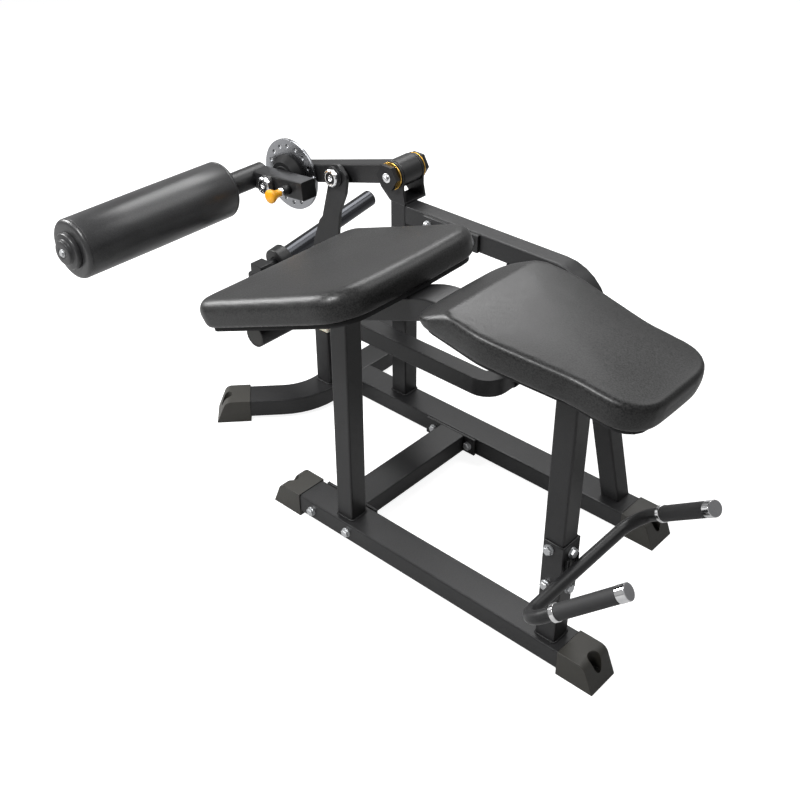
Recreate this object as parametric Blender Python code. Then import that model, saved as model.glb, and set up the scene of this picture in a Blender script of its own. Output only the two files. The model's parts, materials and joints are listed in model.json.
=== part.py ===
"""Lying hamstring machine, plate loaded.

Metres, +Z up, +X toward the head end, +Y toward the side where plates are loaded.
"""

import math

import bmesh
import bpy
from mathutils import Matrix, Vector

for old in list(bpy.data.objects):
    bpy.data.objects.remove(old, do_unlink=True)

X = Vector((1.0, 0.0, 0.0))
Y = Vector((0.0, 1.0, 0.0))
Z = Vector((0.0, 0.0, 1.0))

# Tube stock and fits
POST = 0.050
RAIL_WIDTH = 0.080
RAIL_HEIGHT = 0.050
WALL = 0.0025
CORNER = 0.005
END_PLATE = 0.0075
END_RECESS = 0.0015
PIPE_WALL = 0.003
PLUG_DEPTH = 0.012
PLATE = 0.006
SEAT = 0.0003
RUNNING = 0.0003
SIDE_PLAY = 0.001

# Base frame
BOOT_SOLE = 0.013
BOOT_SKIN = 0.0025
BOOT_LENGTH = 0.093
BOOT_END_WALL = 0.047
BOOT_LEAN = 0.027
BOOT_NOSE = 0.022
SCOOP_AT = 0.028
SCOOP_FLOOR = 0.020
SCOOP_RADIUS = 0.0155
CENTRE_RAIL_FOOT = -0.231
CENTRE_RAIL_HEAD = 0.722
SIDE_RAIL_Y = 0.464
SIDE_RAIL_HEAD = 0.579
CROSS_X = -0.035
FLANGE_LOW_X = -0.125
FLANGE_HIGH_X = 0.040
FLANGE = 0.008
FOOT_X = -0.4515
FOOT_BEND_REACH = 0.176
FOOT_ARM = 0.248
FOOT_SPLAY = math.radians(43.5)
FOOT_BEND_RADIUS = 0.165

# Uprights
CHEST_POST_X = 0.5835
PIVOT_POST_X = -0.258
PIVOT_Y = 0.477
SIDE_TUBE_Z = 0.605
SIDE_LEG_LEAN = math.radians(13.7)
SIDE_LEG_FLOOR_X = 0.431
SIDE_BEND_RADIUS = 0.100
STOP_X = -0.451
STOP_Y = 0.377
BUMPER_HEIGHT = 0.026

# Main pivot and movement arm
PIVOT_X = -0.275
PIVOT_Z = 0.698
BRACKET_RADIUS = 0.035
SHAFT_RADIUS = 0.0125
ARM_TUBE_RADIUS = 0.036
ARM_TUBE_LENGTH = 0.065
ARM_Y = 0.487
ARM_SLOPE = math.radians(15.7)
ARM_LENGTH = 0.3843
RING_RADIUS = 0.038
RING_THICK = 0.006
CAP_FLATS = 0.058
CAP_THICK = 0.015
BOLT_RING = 0.023
BOLT_HEAD = 0.012
BOLT_RADIUS = 0.008
BOSS_RADIUS = 0.035

# Index disc and roller lever
DISC_RADIUS = 0.097
DISC_THICK = 0.008
DISC_NEAR_Y = 0.452
HOLE_CIRCLE = 0.0775
HOLE_COUNT = 16
HOLE_RADIUS = 0.0056
HUB_RADIUS = 0.058
LEVER_Y = 0.397
LEVER_TILT = math.radians(-5.5)
LEVER_HEAD_REACH = 0.128
LEVER_FOOT_REACH = 0.056
ROLLER_REACH = 0.080
ROLLER_SHAFT_RADIUS = 0.030
ROLLER_NEAR_Y = -0.190
ROLLER_FAR_Y = 0.280
FOAM_RADIUS = 0.075
PIN_RADIUS = 0.005
PIN_CLEAR = 0.0005

# Link and weight lever
LINK_REACH = 0.195
LINK_Y = 0.444
LINK_THICK = 0.010
LINK_END = 0.031
LINK_EYE = 0.027
LINK_FOOT_X = -0.505
WEIGHT_LEVER_Y = 0.380
WEIGHT_LEVER_Z = 0.279
WEIGHT_LEVER_FOOT = -0.740
LEVER_PIVOT_X = 0.107
LEVER_BEND_RADIUS = 0.061
BEARING_RADIUS = 0.036
SLEEVE_X = -0.710
SLEEVE_RADIUS = 0.0243
SLEEVE_RISE = math.radians(9.5)
SLEEVE_REACH = 0.455

# Pads and handle
SPINE_WIDTH = RAIL_WIDTH
SPINE_DEPTH = RAIL_HEIGHT
SPINE_RISE = math.radians(21.0)
SPINE_FALL = math.radians(6.5)
SPINE_BEND_X = 0.2674
SPINE_BEND_Z = 0.7391
SPINE_BEND_RADIUS = 0.150
SPINE_HEAD_X = 0.660
CROSS_TUBE_RADIUS = 0.0255
CROSS_TUBE_X = -0.082
CROSS_TUBE_NEAR = -0.183
BOARD_THICK = 0.010
BOARD_INSET = 0.020
PAD_THICK = 0.062
PAD_TOP_EDGE = 0.026
PAD_LOW_EDGE = 0.012
PAD_DRAW = 0.004
PAD_CROWN = 0.004
THIGH_FOOT = -0.196
THIGH_HEAD = 0.246
THIGH_BOW = 0.010
THIGH_FOOT_HALF = 0.248
THIGH_HEAD_HALF = 0.214
CHEST_BASE_X = 0.385
CHEST_FOOT = -0.088
CHEST_CREASE = -0.010
CHEST_HEAD = 0.402
CHEST_SLANT = 0.62
HANDLE_RADIUS = 0.014
HANDLE_X = 0.634
HANDLE_Z = 0.276
HANDLE_HALF = 0.207
HANDLE_BEND = 0.050
HANDLE_RISE = math.radians(40.0)
HANDLE_TOE = math.radians(13.2)
HANDLE_ARM = 0.257
COLLAR_AT = 0.089
GRIP_AT = 0.100
END_AT = 0.236
GRIP_RADIUS = 0.0168
FERRULE_RADIUS = 0.0182
GRIP_CAP_RADIUS = 0.0173
BRACKET_LOW = 0.190
BRACKET_HIGH = 0.328
BRACKET_PLATE = 0.004

# Facets of round shapes
FINE = 36
ROUND = 20
SMALL = 14
PERFORATION = 12
BEND_STEPS = 6
CORNER_STEPS = 2

RAIL_Z = BOOT_SOLE + RAIL_HEIGHT / 2
RAIL_TOP = BOOT_SOLE + RAIL_HEIGHT


def material(name, colour, metallic, roughness):
    made = bpy.data.materials.new(name)
    made.use_nodes = True
    shader = made.node_tree.nodes["Principled BSDF"]
    shader.inputs["Base Color"].default_value = (*colour, 1.0)
    shader.inputs["Metallic"].default_value = metallic
    shader.inputs["Roughness"].default_value = roughness
    return made


BLACK_COAT = material("black_powder_coat", (0.035, 0.035, 0.036), 0.0, 0.55)
RUBBER = material("black_rubber", (0.045, 0.043, 0.038), 0.0, 0.8)
PALE_RUBBER = material("pale_rubber", (0.60, 0.57, 0.50), 0.0, 0.8)
VINYL = material("charcoal_vinyl", (0.045, 0.045, 0.046), 0.0, 0.5)
BOARD = material("pad_board", (0.02, 0.02, 0.02), 0.0, 0.7)
FOAM = material("black_foam", (0.03, 0.03, 0.031), 0.0, 0.85)
CHROME = material("chrome_plate", (0.80, 0.80, 0.81), 1.0, 0.12)
DARK_CHROME = material("dark_chrome", (0.10, 0.10, 0.11), 1.0, 0.25)
ZINC = material("zinc_plate", (0.55, 0.56, 0.57), 1.0, 0.35)
GOLD = material("gold_anodised", (0.78, 0.47, 0.07), 0.9, 0.3)
YELLOW = material("yellow_plastic", (0.90, 0.46, 0.03), 0.0, 0.45)


def piece(name, bm, mat, pivot=None):
    """One object whose origin is its pivot point."""
    origin = Vector(pivot) if pivot is not None else Vector((0.0, 0.0, 0.0))
    bmesh.ops.recalc_face_normals(bm, faces=bm.faces)
    bmesh.ops.translate(bm, verts=bm.verts, vec=-origin)
    mesh = bpy.data.meshes.new(name)
    bm.to_mesh(mesh)
    bm.free()
    mesh.materials.append(mat)
    obj = bpy.data.objects.new(name, mesh)
    obj.location = origin
    bpy.context.scene.collection.objects.link(obj)
    return obj


def combine(obj, shapes, operation):
    """Adds shapes to obj or cuts them out of it."""
    for bm in shapes:
        helper = piece("helper", bm, BLACK_COAT)
        modifier = obj.modifiers.new("combine", "BOOLEAN")
        modifier.operation = operation
        modifier.solver = "EXACT"
        modifier.object = helper
        bpy.context.view_layer.update()
        bpy.context.view_layer.objects.active = obj
        bpy.ops.object.modifier_apply(modifier=modifier.name)
        while len(obj.data.materials) > 1:
            obj.data.materials.pop()
        bpy.data.objects.remove(helper, do_unlink=True)
    return obj


def skin(bm, first, second):
    """Faces between two loops with equal counts."""
    count = len(first)
    for i in range(count):
        j = (i + 1) % count
        bm.faces.new((first[i], first[j], second[j], second[i]))


def box_section(across, deep, corner=CORNER, steps=CORNER_STEPS):
    """Points of a rounded rectangle, in order."""
    points = []
    for quarter, (sx, sy) in enumerate(((1, 1), (-1, 1), (-1, -1), (1, -1))):
        for step in range(steps + 1):
            angle = math.radians(90 * (quarter + step / steps))
            x = sx * (across / 2 - corner) + corner * math.cos(angle)
            y = sy * (deep / 2 - corner) + corner * math.sin(angle)
            points.append((x, y))
    return points


def round_section(radius, count=SMALL):
    return [
        (radius * math.cos(2 * math.pi * i / count), radius * math.sin(2 * math.pi * i / count))
        for i in range(count)
    ]


def swept(path, across, outer, inner=None, start=None, end=None):
    """A section carried along a path of (point, direction). start and end are the slanted ends' normals."""
    bm = bmesh.new()
    sections = [outer] if inner is None else [outer, inner]
    stations = []
    side = across
    for number, (point, along) in enumerate(path):
        side = (side - along * side.dot(along)).normalized()
        up = along.cross(side)
        cut = along
        if number == 0 and start is not None:
            cut = start
        if number == len(path) - 1 and end is not None:
            cut = end
        rings = []
        for section in sections:
            ring = []
            for a, b in section:
                offset = side * a + up * b
                offset = offset - along * (offset.dot(cut) / along.dot(cut))
                ring.append(bm.verts.new(point + offset))
            rings.append(ring)
        stations.append(rings)
    for before, after in zip(stations, stations[1:]):
        for first, second in zip(before, after):
            skin(bm, first, second)
    for rings in (stations[0], stations[-1]):
        if len(rings) == 2:
            skin(bm, rings[0], rings[1])
        else:
            bm.faces.new(rings[0])
    return bm


def straight(start, end):
    along = (end - start).normalized()
    return [(start, along), (end, along)]


def bent_path(corners, radius, steps=BEND_STEPS):
    """Straight runs joined by arcs of one radius."""
    path = [(corners[0], (corners[1] - corners[0]).normalized())]
    for before, corner, after in zip(corners, corners[1:], corners[2:]):
        into = (corner - before).normalized()
        out = (after - corner).normalized()
        turn = into.angle(out)
        normal = into.cross(out).normalized()
        start = corner - into * radius * math.tan(turn / 2)
        inward = normal.cross(into)
        centre = start + inward * radius
        for step in range(steps + 1):
            spin = Matrix.Rotation(turn * step / steps, 3, normal)
            path.append((centre - (spin @ inward) * radius, spin @ into))
    path.append((corners[-1], (corners[-1] - corners[-2]).normalized()))
    return path


def box_tube(path, across, width, height, start=None, end=None):
    """Rectangular tube, width along the across direction."""
    outer = box_section(width, height)
    inner = box_section(width - 2 * WALL, height - 2 * WALL, CORNER - WALL)
    return swept(path, across, outer, inner, start, end)


def end_plate(end, way, across):
    """A plate set just inside the end of a square tube."""
    inside = box_section(POST - WALL, POST - WALL, CORNER - WALL / 2)
    return swept(straight(end - way * END_PLATE, end - way * END_RECESS), across, inside)


def square_plug(name, end, way, across, width=POST, height=POST):
    """A moulded plug in the open end of a tube."""
    gap = 2 * WALL + 2 * SEAT
    section = box_section(width - gap, height - gap, CORNER - WALL - SEAT)
    return piece(name, swept(straight(end - way * PLUG_DEPTH, end - way * SEAT), across, section), RUBBER)


def turned(profile, centre, along, segments=ROUND, closed=False):
    """A profile of (radius, distance) turned about an axis. A closed profile leaves a bore."""
    bm = bmesh.new()
    side = along.orthogonal().normalized()
    other = along.cross(side)
    rings = []
    for radius, distance in profile:
        middle = centre + along * distance
        if radius == 0:
            rings.append([bm.verts.new(middle)])
            continue
        ring = []
        for i in range(segments):
            angle = 2 * math.pi * i / segments
            spoke = side * math.cos(angle) + other * math.sin(angle)
            ring.append(bm.verts.new(middle + spoke * radius))
        rings.append(ring)
    pairs = list(zip(rings, rings[1:]))
    if closed:
        pairs.append((rings[-1], rings[0]))
    for first, second in pairs:
        if len(first) == 1 or len(second) == 1:
            pole, ring = (first[0], second) if len(first) == 1 else (second[0], first)
            for i in range(segments):
                bm.faces.new((pole, ring[i], ring[(i + 1) % segments]))
        else:
            skin(bm, first, second)
    return bm


def rod(radius, start, end, segments=ROUND, chamfer=0.0):
    """A solid round bar between two points."""
    along = (end - start).normalized()
    length = (end - start).length
    profile = [(0, 0), (radius - chamfer, 0)]
    if chamfer:
        profile += [(radius, chamfer), (radius, length - chamfer)]
        profile += [(radius - chamfer, length), (0, length)]
    else:
        profile += [(radius, length), (0, length)]
    return turned(profile, start, along, segments)


def ring(outer, bore, start, end, segments=ROUND, chamfer=0.0):
    """A round sleeve between two points."""
    along = (end - start).normalized()
    length = (end - start).length
    profile = [(bore, 0), (outer - chamfer, 0)]
    if chamfer:
        profile += [(outer, chamfer), (outer, length - chamfer)]
    profile += [(outer - chamfer, length), (bore, length)]
    return turned(profile, start, along, segments, closed=True)


def plate(outline, start, first, second, depth):
    """A flat outline in the plane of first and second, thickened by the vector depth."""
    bm = bmesh.new()
    near = [bm.verts.new(start + first * a + second * b) for a, b in outline]
    far = [bm.verts.new(vert.co + depth) for vert in near]
    skin(bm, near, far)
    bm.faces.new(near)
    bm.faces.new(far)
    return bm


def block(low, high, bevel=0.0, segments=2):
    """A box, its edges rounded where a bevel is given."""
    bm = bmesh.new()
    bmesh.ops.create_cube(bm, size=1.0)
    low = Vector(low)
    high = Vector(high)
    for vert in bm.verts:
        vert.co = Vector(a + (b - a) * (c + 0.5) for a, b, c in zip(low, high, vert.co))
    if bevel:
        bmesh.ops.bevel(bm, geom=bm.edges[:], offset=bevel, segments=segments, profile=0.5, affect="EDGES")
    return bm


def rounded(corners, steps=6):
    """An outline from (x, y, radius) corners, each turned into an arc."""
    points = []
    count = len(corners)
    for i, (x, y, radius) in enumerate(corners):
        here = Vector((x, y))
        if radius == 0:
            points.append((x, y))
            continue
        into = (here - Vector(corners[i - 1][:2])).normalized()
        out = (Vector(corners[(i + 1) % count][:2]) - here).normalized()
        turn = into.angle_signed(out)
        reach = radius * math.tan(abs(turn) / 2)
        side = -1 if turn > 0 else 1
        centre = here - into * reach + Vector((-into.y, into.x)) * radius * side
        first = here - into * reach - centre
        for step in range(steps + 1):
            angle = side * abs(turn) * step / steps
            spun = Vector(
                (
                    first.x * math.cos(angle) - first.y * math.sin(angle),
                    first.x * math.sin(angle) + first.y * math.cos(angle),
                )
            )
            points.append(tuple(centre + spun))
    return points


# Base: two rails, the bolted cross member and the curved foot
def rail(name, start_x, end_x, y):
    path = straight(Vector((start_x, y, RAIL_Z)), Vector((end_x, y, RAIL_Z)))
    return piece(name, box_tube(path, Y, RAIL_WIDTH, RAIL_HEIGHT), BLACK_COAT)


FOOT_HEAD_FACE = FOOT_X + RAIL_WIDTH / 2
rail("centre_rail", CENTRE_RAIL_FOOT + BOOT_END_WALL, CENTRE_RAIL_HEAD - BOOT_END_WALL, 0.0)
rail("side_rail", FOOT_HEAD_FACE + SEAT, SIDE_RAIL_HEAD - BOOT_END_WALL, SIDE_RAIL_Y)

cross_start = RAIL_WIDTH / 2 + SEAT
cross_end = SIDE_RAIL_Y - RAIL_WIDTH / 2 - SEAT
cross_path = straight(
    Vector((CROSS_X, cross_start + FLANGE + SEAT, RAIL_Z)),
    Vector((CROSS_X, cross_end - FLANGE - SEAT, RAIL_Z)),
)
piece("cross_member", box_tube(cross_path, X, RAIL_WIDTH, RAIL_HEIGHT), BLACK_COAT)
for name, low_y in (("near", cross_start), ("far", cross_end - FLANGE)):
    flange_low = (FLANGE_LOW_X, low_y, BOOT_SOLE)
    flange_high = (FLANGE_HIGH_X, low_y + FLANGE, RAIL_TOP)
    piece(f"cross_flange_{name}", block(flange_low, flange_high, 0.0012, 1), BLACK_COAT)

splay_x = -math.sin(FOOT_SPLAY)
splay_y = math.cos(FOOT_SPLAY)
near_bend = Vector((FOOT_X, SIDE_RAIL_Y - FOOT_BEND_REACH, RAIL_Z))
far_bend = Vector((FOOT_X, SIDE_RAIL_Y + FOOT_BEND_REACH, RAIL_Z))
near_way = Vector((splay_x, -splay_y, 0.0))
far_way = Vector((splay_x, splay_y, 0.0))
foot_corners = [
    near_bend + near_way * (FOOT_ARM - BOOT_END_WALL),
    near_bend,
    far_bend,
    far_bend + far_way * (FOOT_ARM - BOOT_END_WALL),
]
foot_path = bent_path(foot_corners, FOOT_BEND_RADIUS)
piece("curved_foot", box_tube(foot_path, Z, RAIL_HEIGHT, RAIL_WIDTH), BLACK_COAT)


def boot(name, tip, outward):
    """A rubber shoe over a rail end, tip on the floor at its outer end."""
    across = Z.cross(outward)
    top = RAIL_TOP + BOOT_SKIN - SEAT
    half = RAIL_WIDTH / 2 + BOOT_SKIN
    side_corners = [
        (-BOOT_LENGTH, 0.0, 0.0),
        (0.0, 0.0, 0.0),
        (-BOOT_LEAN, top, BOOT_NOSE),
        (-BOOT_LENGTH, top, 0.0),
    ]
    side_outline = rounded(side_corners, 5)
    bm = plate(side_outline, tip - across * half, outward, Z, across * 2 * half)
    obj = piece(name, bm, RUBBER)
    socket = swept(
        straight(
            tip + Z * RAIL_Z - outward * (BOOT_LENGTH + 0.01),
            tip + Z * RAIL_Z - outward * (BOOT_END_WALL - SEAT),
        ),
        across,
        box_section(RAIL_WIDTH + 2 * SEAT, RAIL_HEIGHT + 2 * SEAT, CORNER + SEAT),
    )
    scoop_axis = tip - outward * SCOOP_AT
    scoop = rod(SCOOP_RADIUS, scoop_axis + Z * SCOOP_FLOOR, scoop_axis + Z * (top + 0.01), ROUND)
    return combine(obj, [socket, scoop], "DIFFERENCE")


boot("boot_centre_foot", Vector((CENTRE_RAIL_FOOT, 0.0, 0.0)), -X)
boot("boot_centre_head", Vector((CENTRE_RAIL_HEAD, 0.0, 0.0)), X)
boot("boot_side_head", Vector((SIDE_RAIL_HEAD, SIDE_RAIL_Y, 0.0)), X)
floor_near = near_bend + near_way * FOOT_ARM
floor_far = far_bend + far_way * FOOT_ARM
boot("boot_foot_near", Vector((floor_near.x, floor_near.y, 0.0)), near_way)
boot("boot_foot_far", Vector((floor_far.x, floor_far.y, 0.0)), far_way)


# Uprights
def post(name, x, y, top, top_normal=None):
    path = straight(Vector((x, y, RAIL_TOP + SEAT)), Vector((x, y, top)))
    return piece(name, box_tube(path, X, POST, POST, None, top_normal), BLACK_COAT)


def spine_centre(x):
    """Height of the spine's centre line."""
    slope = math.tan(SPINE_RISE) if x < SPINE_BEND_X else -math.tan(SPINE_FALL)
    return SPINE_BEND_Z + (x - SPINE_BEND_X) * slope


def spine_under(x):
    """Height of the spine's underside."""
    lean = SPINE_RISE if x < SPINE_BEND_X else SPINE_FALL
    return spine_centre(x) - SPINE_DEPTH / 2 / math.cos(lean)


rise_normal = Vector((-math.sin(SPINE_RISE), 0.0, math.cos(SPINE_RISE)))
fall_normal = Vector((math.sin(SPINE_FALL), 0.0, math.cos(SPINE_FALL)))
post("thigh_post", 0.0, 0.0, spine_under(0.0) - SEAT / math.cos(SPINE_RISE), rise_normal)
post("chest_post", CHEST_POST_X, 0.0, spine_under(CHEST_POST_X) - SEAT / math.cos(SPINE_FALL), fall_normal)
side_top = SIDE_TUBE_Z + POST / 2
post("pivot_post", PIVOT_POST_X, PIVOT_Y, side_top)

leg_way = Vector((math.sin(SIDE_LEG_LEAN), 0.0, -math.cos(SIDE_LEG_LEAN)))
leg_foot = Vector((SIDE_LEG_FLOOR_X, PIVOT_Y, RAIL_TOP + SEAT))
leg_top = leg_foot - leg_way * ((SIDE_TUBE_Z - leg_foot.z) / math.cos(SIDE_LEG_LEAN))
side_start = Vector((PIVOT_POST_X + POST / 2 + SEAT, PIVOT_Y, SIDE_TUBE_Z))
side_path = bent_path([side_start, leg_top, leg_foot], SIDE_BEND_RADIUS)
piece("side_tube", box_tube(side_path, Y, POST, POST, None, Z), BLACK_COAT)

WEIGHT_LEVER_UNDER = WEIGHT_LEVER_Z - POST / 2
stop_top = WEIGHT_LEVER_UNDER - SEAT - BUMPER_HEIGHT
stop_path = straight(Vector((STOP_X, STOP_Y, RAIL_TOP + SEAT)), Vector((STOP_X, STOP_Y, stop_top - SEAT)))
piece("stop_post", box_tube(stop_path, X, POST, POST), BLACK_COAT)
bumper_half = POST / 2
piece(
    "stop_bumper",
    block(
        (STOP_X - bumper_half, STOP_Y - bumper_half, stop_top),
        (STOP_X + bumper_half, STOP_Y + bumper_half, stop_top + BUMPER_HEIGHT),
        0.004,
    ),
    PALE_RUBBER,
)

# Main pivot: forked bracket on the pivot post, shaft, gold rings and hex caps
pivot = Vector((PIVOT_X, 0.0, PIVOT_Z))
tube_near = ARM_Y - 0.028
tube_far = tube_near + ARM_TUBE_LENGTH
fork_low = tube_near - SIDE_PLAY
fork_high = tube_far + SIDE_PLAY
bracket_far = fork_high + PLATE
bracket_base = side_top + SEAT
base_left = PIVOT_POST_X - POST / 2
base_right = PIVOT_POST_X + POST / 2
side_outline = [(base_left, bracket_base), (base_right, bracket_base)]
side_outline.append((PIVOT_X + BRACKET_RADIUS, PIVOT_Z - BRACKET_RADIUS))
for step in range(17):
    angle = math.pi * step / 16
    side_outline.append(
        (PIVOT_X + BRACKET_RADIUS * math.cos(angle), PIVOT_Z + BRACKET_RADIUS * math.sin(angle))
    )
side_outline.append((PIVOT_X - BRACKET_RADIUS, bracket_base + 0.024))
bracket = piece(
    "pivot_bracket",
    plate(side_outline, Y * (fork_low - PLATE), X, Z, Y * PLATE),
    BLACK_COAT,
)
combine(
    bracket,
    [
        plate(side_outline, Y * fork_high, X, Z, Y * PLATE),
        block(
            (base_left, fork_low - PLATE / 2, bracket_base),
            (base_right, fork_high + PLATE / 2, bracket_base + PLATE),
        ),
    ],
    "UNION",
)
shaft_bore = rod(
    SHAFT_RADIUS + RUNNING,
    pivot + Y * (fork_low - 0.05),
    pivot + Y * (bracket_far + 0.05),
    ROUND,
)
combine(bracket, [shaft_bore], "DIFFERENCE")


def hexagon(flats):
    corner = flats / 2 / math.cos(math.pi / 6)
    return [(corner * math.cos(math.pi * i / 3), corner * math.sin(math.pi * i / 3)) for i in range(6)]


ring_near_face = fork_low - PLATE - SEAT
ring_far_face = bracket_far + SEAT
SHAFT_NOSE = 0.006
for name, face, side in (("near", ring_near_face, -1), ("far", ring_far_face, 1)):
    outer_face = face + side * RING_THICK
    piece(
        f"pivot_ring_{name}",
        ring(RING_RADIUS, SHAFT_RADIUS + RUNNING, pivot + Y * face, pivot + Y * outer_face, FINE, 0.0015),
        GOLD,
    )
    cap_face = outer_face + side * SEAT
    cap = piece(
        f"pivot_cap_{name}",
        plate(hexagon(CAP_FLATS), pivot + Y * cap_face, X, Z, Y * side * CAP_THICK),
        BLACK_COAT,
    )
    bore = rod(
        SHAFT_RADIUS + RUNNING,
        pivot + Y * (cap_face - 0.01 * side),
        pivot + Y * (cap_face + side * (CAP_THICK + 0.01)),
        ROUND,
    )
    combine(cap, [bore], "DIFFERENCE")
shaft_reach = RING_THICK + 2 * SEAT + CAP_THICK
shaft_near = ring_near_face - shaft_reach
shaft_far = ring_far_face + shaft_reach
NUT_RADIUS = 0.0095
shaft_length = shaft_far - shaft_near
shaft_profile = [
    (0, -SHAFT_NOSE),
    (NUT_RADIUS - 0.002, -SHAFT_NOSE),
    (NUT_RADIUS, -SHAFT_NOSE + 0.002),
    (NUT_RADIUS, 0),
    (SHAFT_RADIUS, 0),
    (SHAFT_RADIUS, shaft_length),
    (NUT_RADIUS, shaft_length),
    (NUT_RADIUS, shaft_length + SHAFT_NOSE - 0.002),
    (NUT_RADIUS - 0.002, shaft_length + SHAFT_NOSE),
    (0, shaft_length + SHAFT_NOSE),
]
piece("pivot_shaft", turned(shaft_profile, pivot + Y * shaft_near, Y, ROUND), CHROME)

# Movement arm with its pivot tube and end boss
arm_way = Vector((-math.cos(ARM_SLOPE), 0.0, -math.sin(ARM_SLOPE)))
disc_centre = pivot + arm_way * ARM_LENGTH
arm_path = straight(
    pivot + Y * ARM_Y + arm_way * (ARM_TUBE_RADIUS - 0.008),
    disc_centre + Y * ARM_Y,
)
arm = piece(
    "movement_arm",
    box_tube(arm_path, Y, POST, POST),
    BLACK_COAT,
    pivot + Y * ARM_Y,
)
disc_far = DISC_NEAR_Y + DISC_THICK
boss_near = disc_far + SEAT
combine(
    arm,
    [
        rod(ARM_TUBE_RADIUS, pivot + Y * tube_near, pivot + Y * tube_far, FINE, 0.0015),
        rod(
            BOSS_RADIUS,
            disc_centre + Y * boss_near,
            disc_centre + Y * (ARM_Y + POST / 2 + 0.003),
            ROUND,
            0.0015,
        ),
    ],
    "UNION",
)
arm_bore = rod(SHAFT_RADIUS + RUNNING, pivot + Y * (tube_near - 0.01), pivot + Y * (tube_far + 0.01), ROUND)
index_bore_arm = rod(
    BOLT_RADIUS + RUNNING,
    disc_centre + Y * (boss_near - 0.01),
    disc_centre + Y * (ARM_Y + POST / 2 + 0.02),
    SMALL,
)
link_top = pivot + arm_way * LINK_REACH
arm_near_face = ARM_Y - POST / 2
link_bore_arm = rod(
    BOLT_RADIUS + RUNNING,
    link_top + Y * (arm_near_face - 0.01),
    link_top + Y * (ARM_Y + POST / 2 + 0.01),
    SMALL,
)
combine(arm, [arm_bore, index_bore_arm, link_bore_arm], "DIFFERENCE")

# Perforated index disc, one hole on the line of the lever's pull pin
lever_way = Vector((math.cos(LEVER_TILT), 0.0, -math.sin(LEVER_TILT)))
lever_up = Vector((math.sin(LEVER_TILT), 0.0, math.cos(LEVER_TILT)))
disc = piece(
    "index_disc",
    ring(
        DISC_RADIUS,
        BOLT_RADIUS + RUNNING,
        disc_centre + Y * DISC_NEAR_Y,
        disc_centre + Y * disc_far,
        FINE,
        0.001,
    ),
    ZINC,
    disc_centre + Y * DISC_NEAR_Y,
)
hole_cutters = []
for number in range(HOLE_COUNT):
    spoke = Matrix.Rotation(2 * math.pi * number / HOLE_COUNT, 3, Y) @ lever_way
    middle = disc_centre + spoke * HOLE_CIRCLE
    hole_cutters.append(
        rod(HOLE_RADIUS, middle + Y * (DISC_NEAR_Y - 0.01), middle + Y * (disc_far + 0.01), PERFORATION)
    )
combine(disc, hole_cutters, "DIFFERENCE")
lever_far = LEVER_Y + POST / 2
hub_near = lever_far + SIDE_PLAY
hub_far = DISC_NEAR_Y - SEAT
piece(
    "disc_hub",
    turned(
        [
            (BOLT_RADIUS + RUNNING, hub_near),
            (HUB_RADIUS - 0.016, hub_near),
            (HUB_RADIUS - 0.004, hub_far - 0.012),
            (HUB_RADIUS, hub_far - 0.008),
            (HUB_RADIUS, hub_far),
            (BOLT_RADIUS + RUNNING, hub_far),
        ],
        Vector((disc_centre.x, 0.0, disc_centre.z)),
        Y,
        FINE,
        closed=True,
    ),
    BLACK_COAT,
    disc_centre + Y * hub_far,
)

# Roller lever: a short bar on the index bolt that carries the roller shaft and the pull pin
lever_centre = disc_centre + Y * LEVER_Y
lever_head = lever_centre + lever_way * LEVER_HEAD_REACH
lever = piece(
    "roller_lever",
    box_tube(straight(lever_centre - lever_way * LEVER_FOOT_REACH, lever_head), Y, POST, POST),
    BLACK_COAT,
    lever_centre,
)
lever_near = LEVER_Y - POST / 2
LEVER_BOSS = 0.026
boss_face = lever_near - 0.010
shaft_axis = disc_centre - lever_way * ROLLER_REACH
combine(
    lever,
    [
        rod(LEVER_BOSS, disc_centre + Y * boss_face, disc_centre + Y * (lever_near + 0.01), ROUND, 0.001),
        end_plate(lever_head, lever_way, Y),
    ],
    "UNION",
)
pin_centre = disc_centre + lever_way * HOLE_CIRCLE
combine(
    lever,
    [
        rod(
            BOLT_RADIUS + RUNNING,
            disc_centre + Y * (boss_face - 0.01),
            disc_centre + Y * (lever_far + 0.01),
            SMALL,
        ),
        rod(
            PIN_RADIUS + RUNNING,
            pin_centre + Y * (lever_near - 0.01),
            pin_centre + Y * (lever_far + 0.01),
            SMALL,
        ),
        rod(
            ROLLER_SHAFT_RADIUS + SEAT,
            shaft_axis + Y * (lever_near - 0.05),
            shaft_axis + Y * (lever_far + 0.05),
            ROUND,
        ),
    ],
    "DIFFERENCE",
)


def socket_bolt(name, centre, head_near, head_thick, shank, shank_end, ring_radius, pivot_point):
    """A pivot bolt: chromed rim, dark hex centre and shank, one turned piece with a hex recess."""
    profile = [
        (0, head_near + 0.003),
        (ring_radius * 0.55, head_near + 0.003),
        (ring_radius * 0.62, head_near),
        (ring_radius - 0.003, head_near),
        (ring_radius, head_near + 0.003),
        (ring_radius, head_near + head_thick),
        (shank, head_near + head_thick),
        (shank, shank_end),
        (0, shank_end),
    ]
    obj = piece(name, turned(profile, centre, Y, ROUND), CHROME, pivot_point)
    socket = plate(hexagon(0.010), centre + Y * (head_near - 0.001), X, Z, Y * 0.009)
    return combine(obj, [socket], "DIFFERENCE")


index_head = boss_face - SEAT - BOLT_HEAD
socket_bolt(
    "index_bolt",
    disc_centre,
    index_head,
    BOLT_HEAD,
    BOLT_RADIUS,
    ARM_Y + POST / 2 + 0.003,
    BOLT_RING,
    disc_centre + Y * index_head,
)

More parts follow.
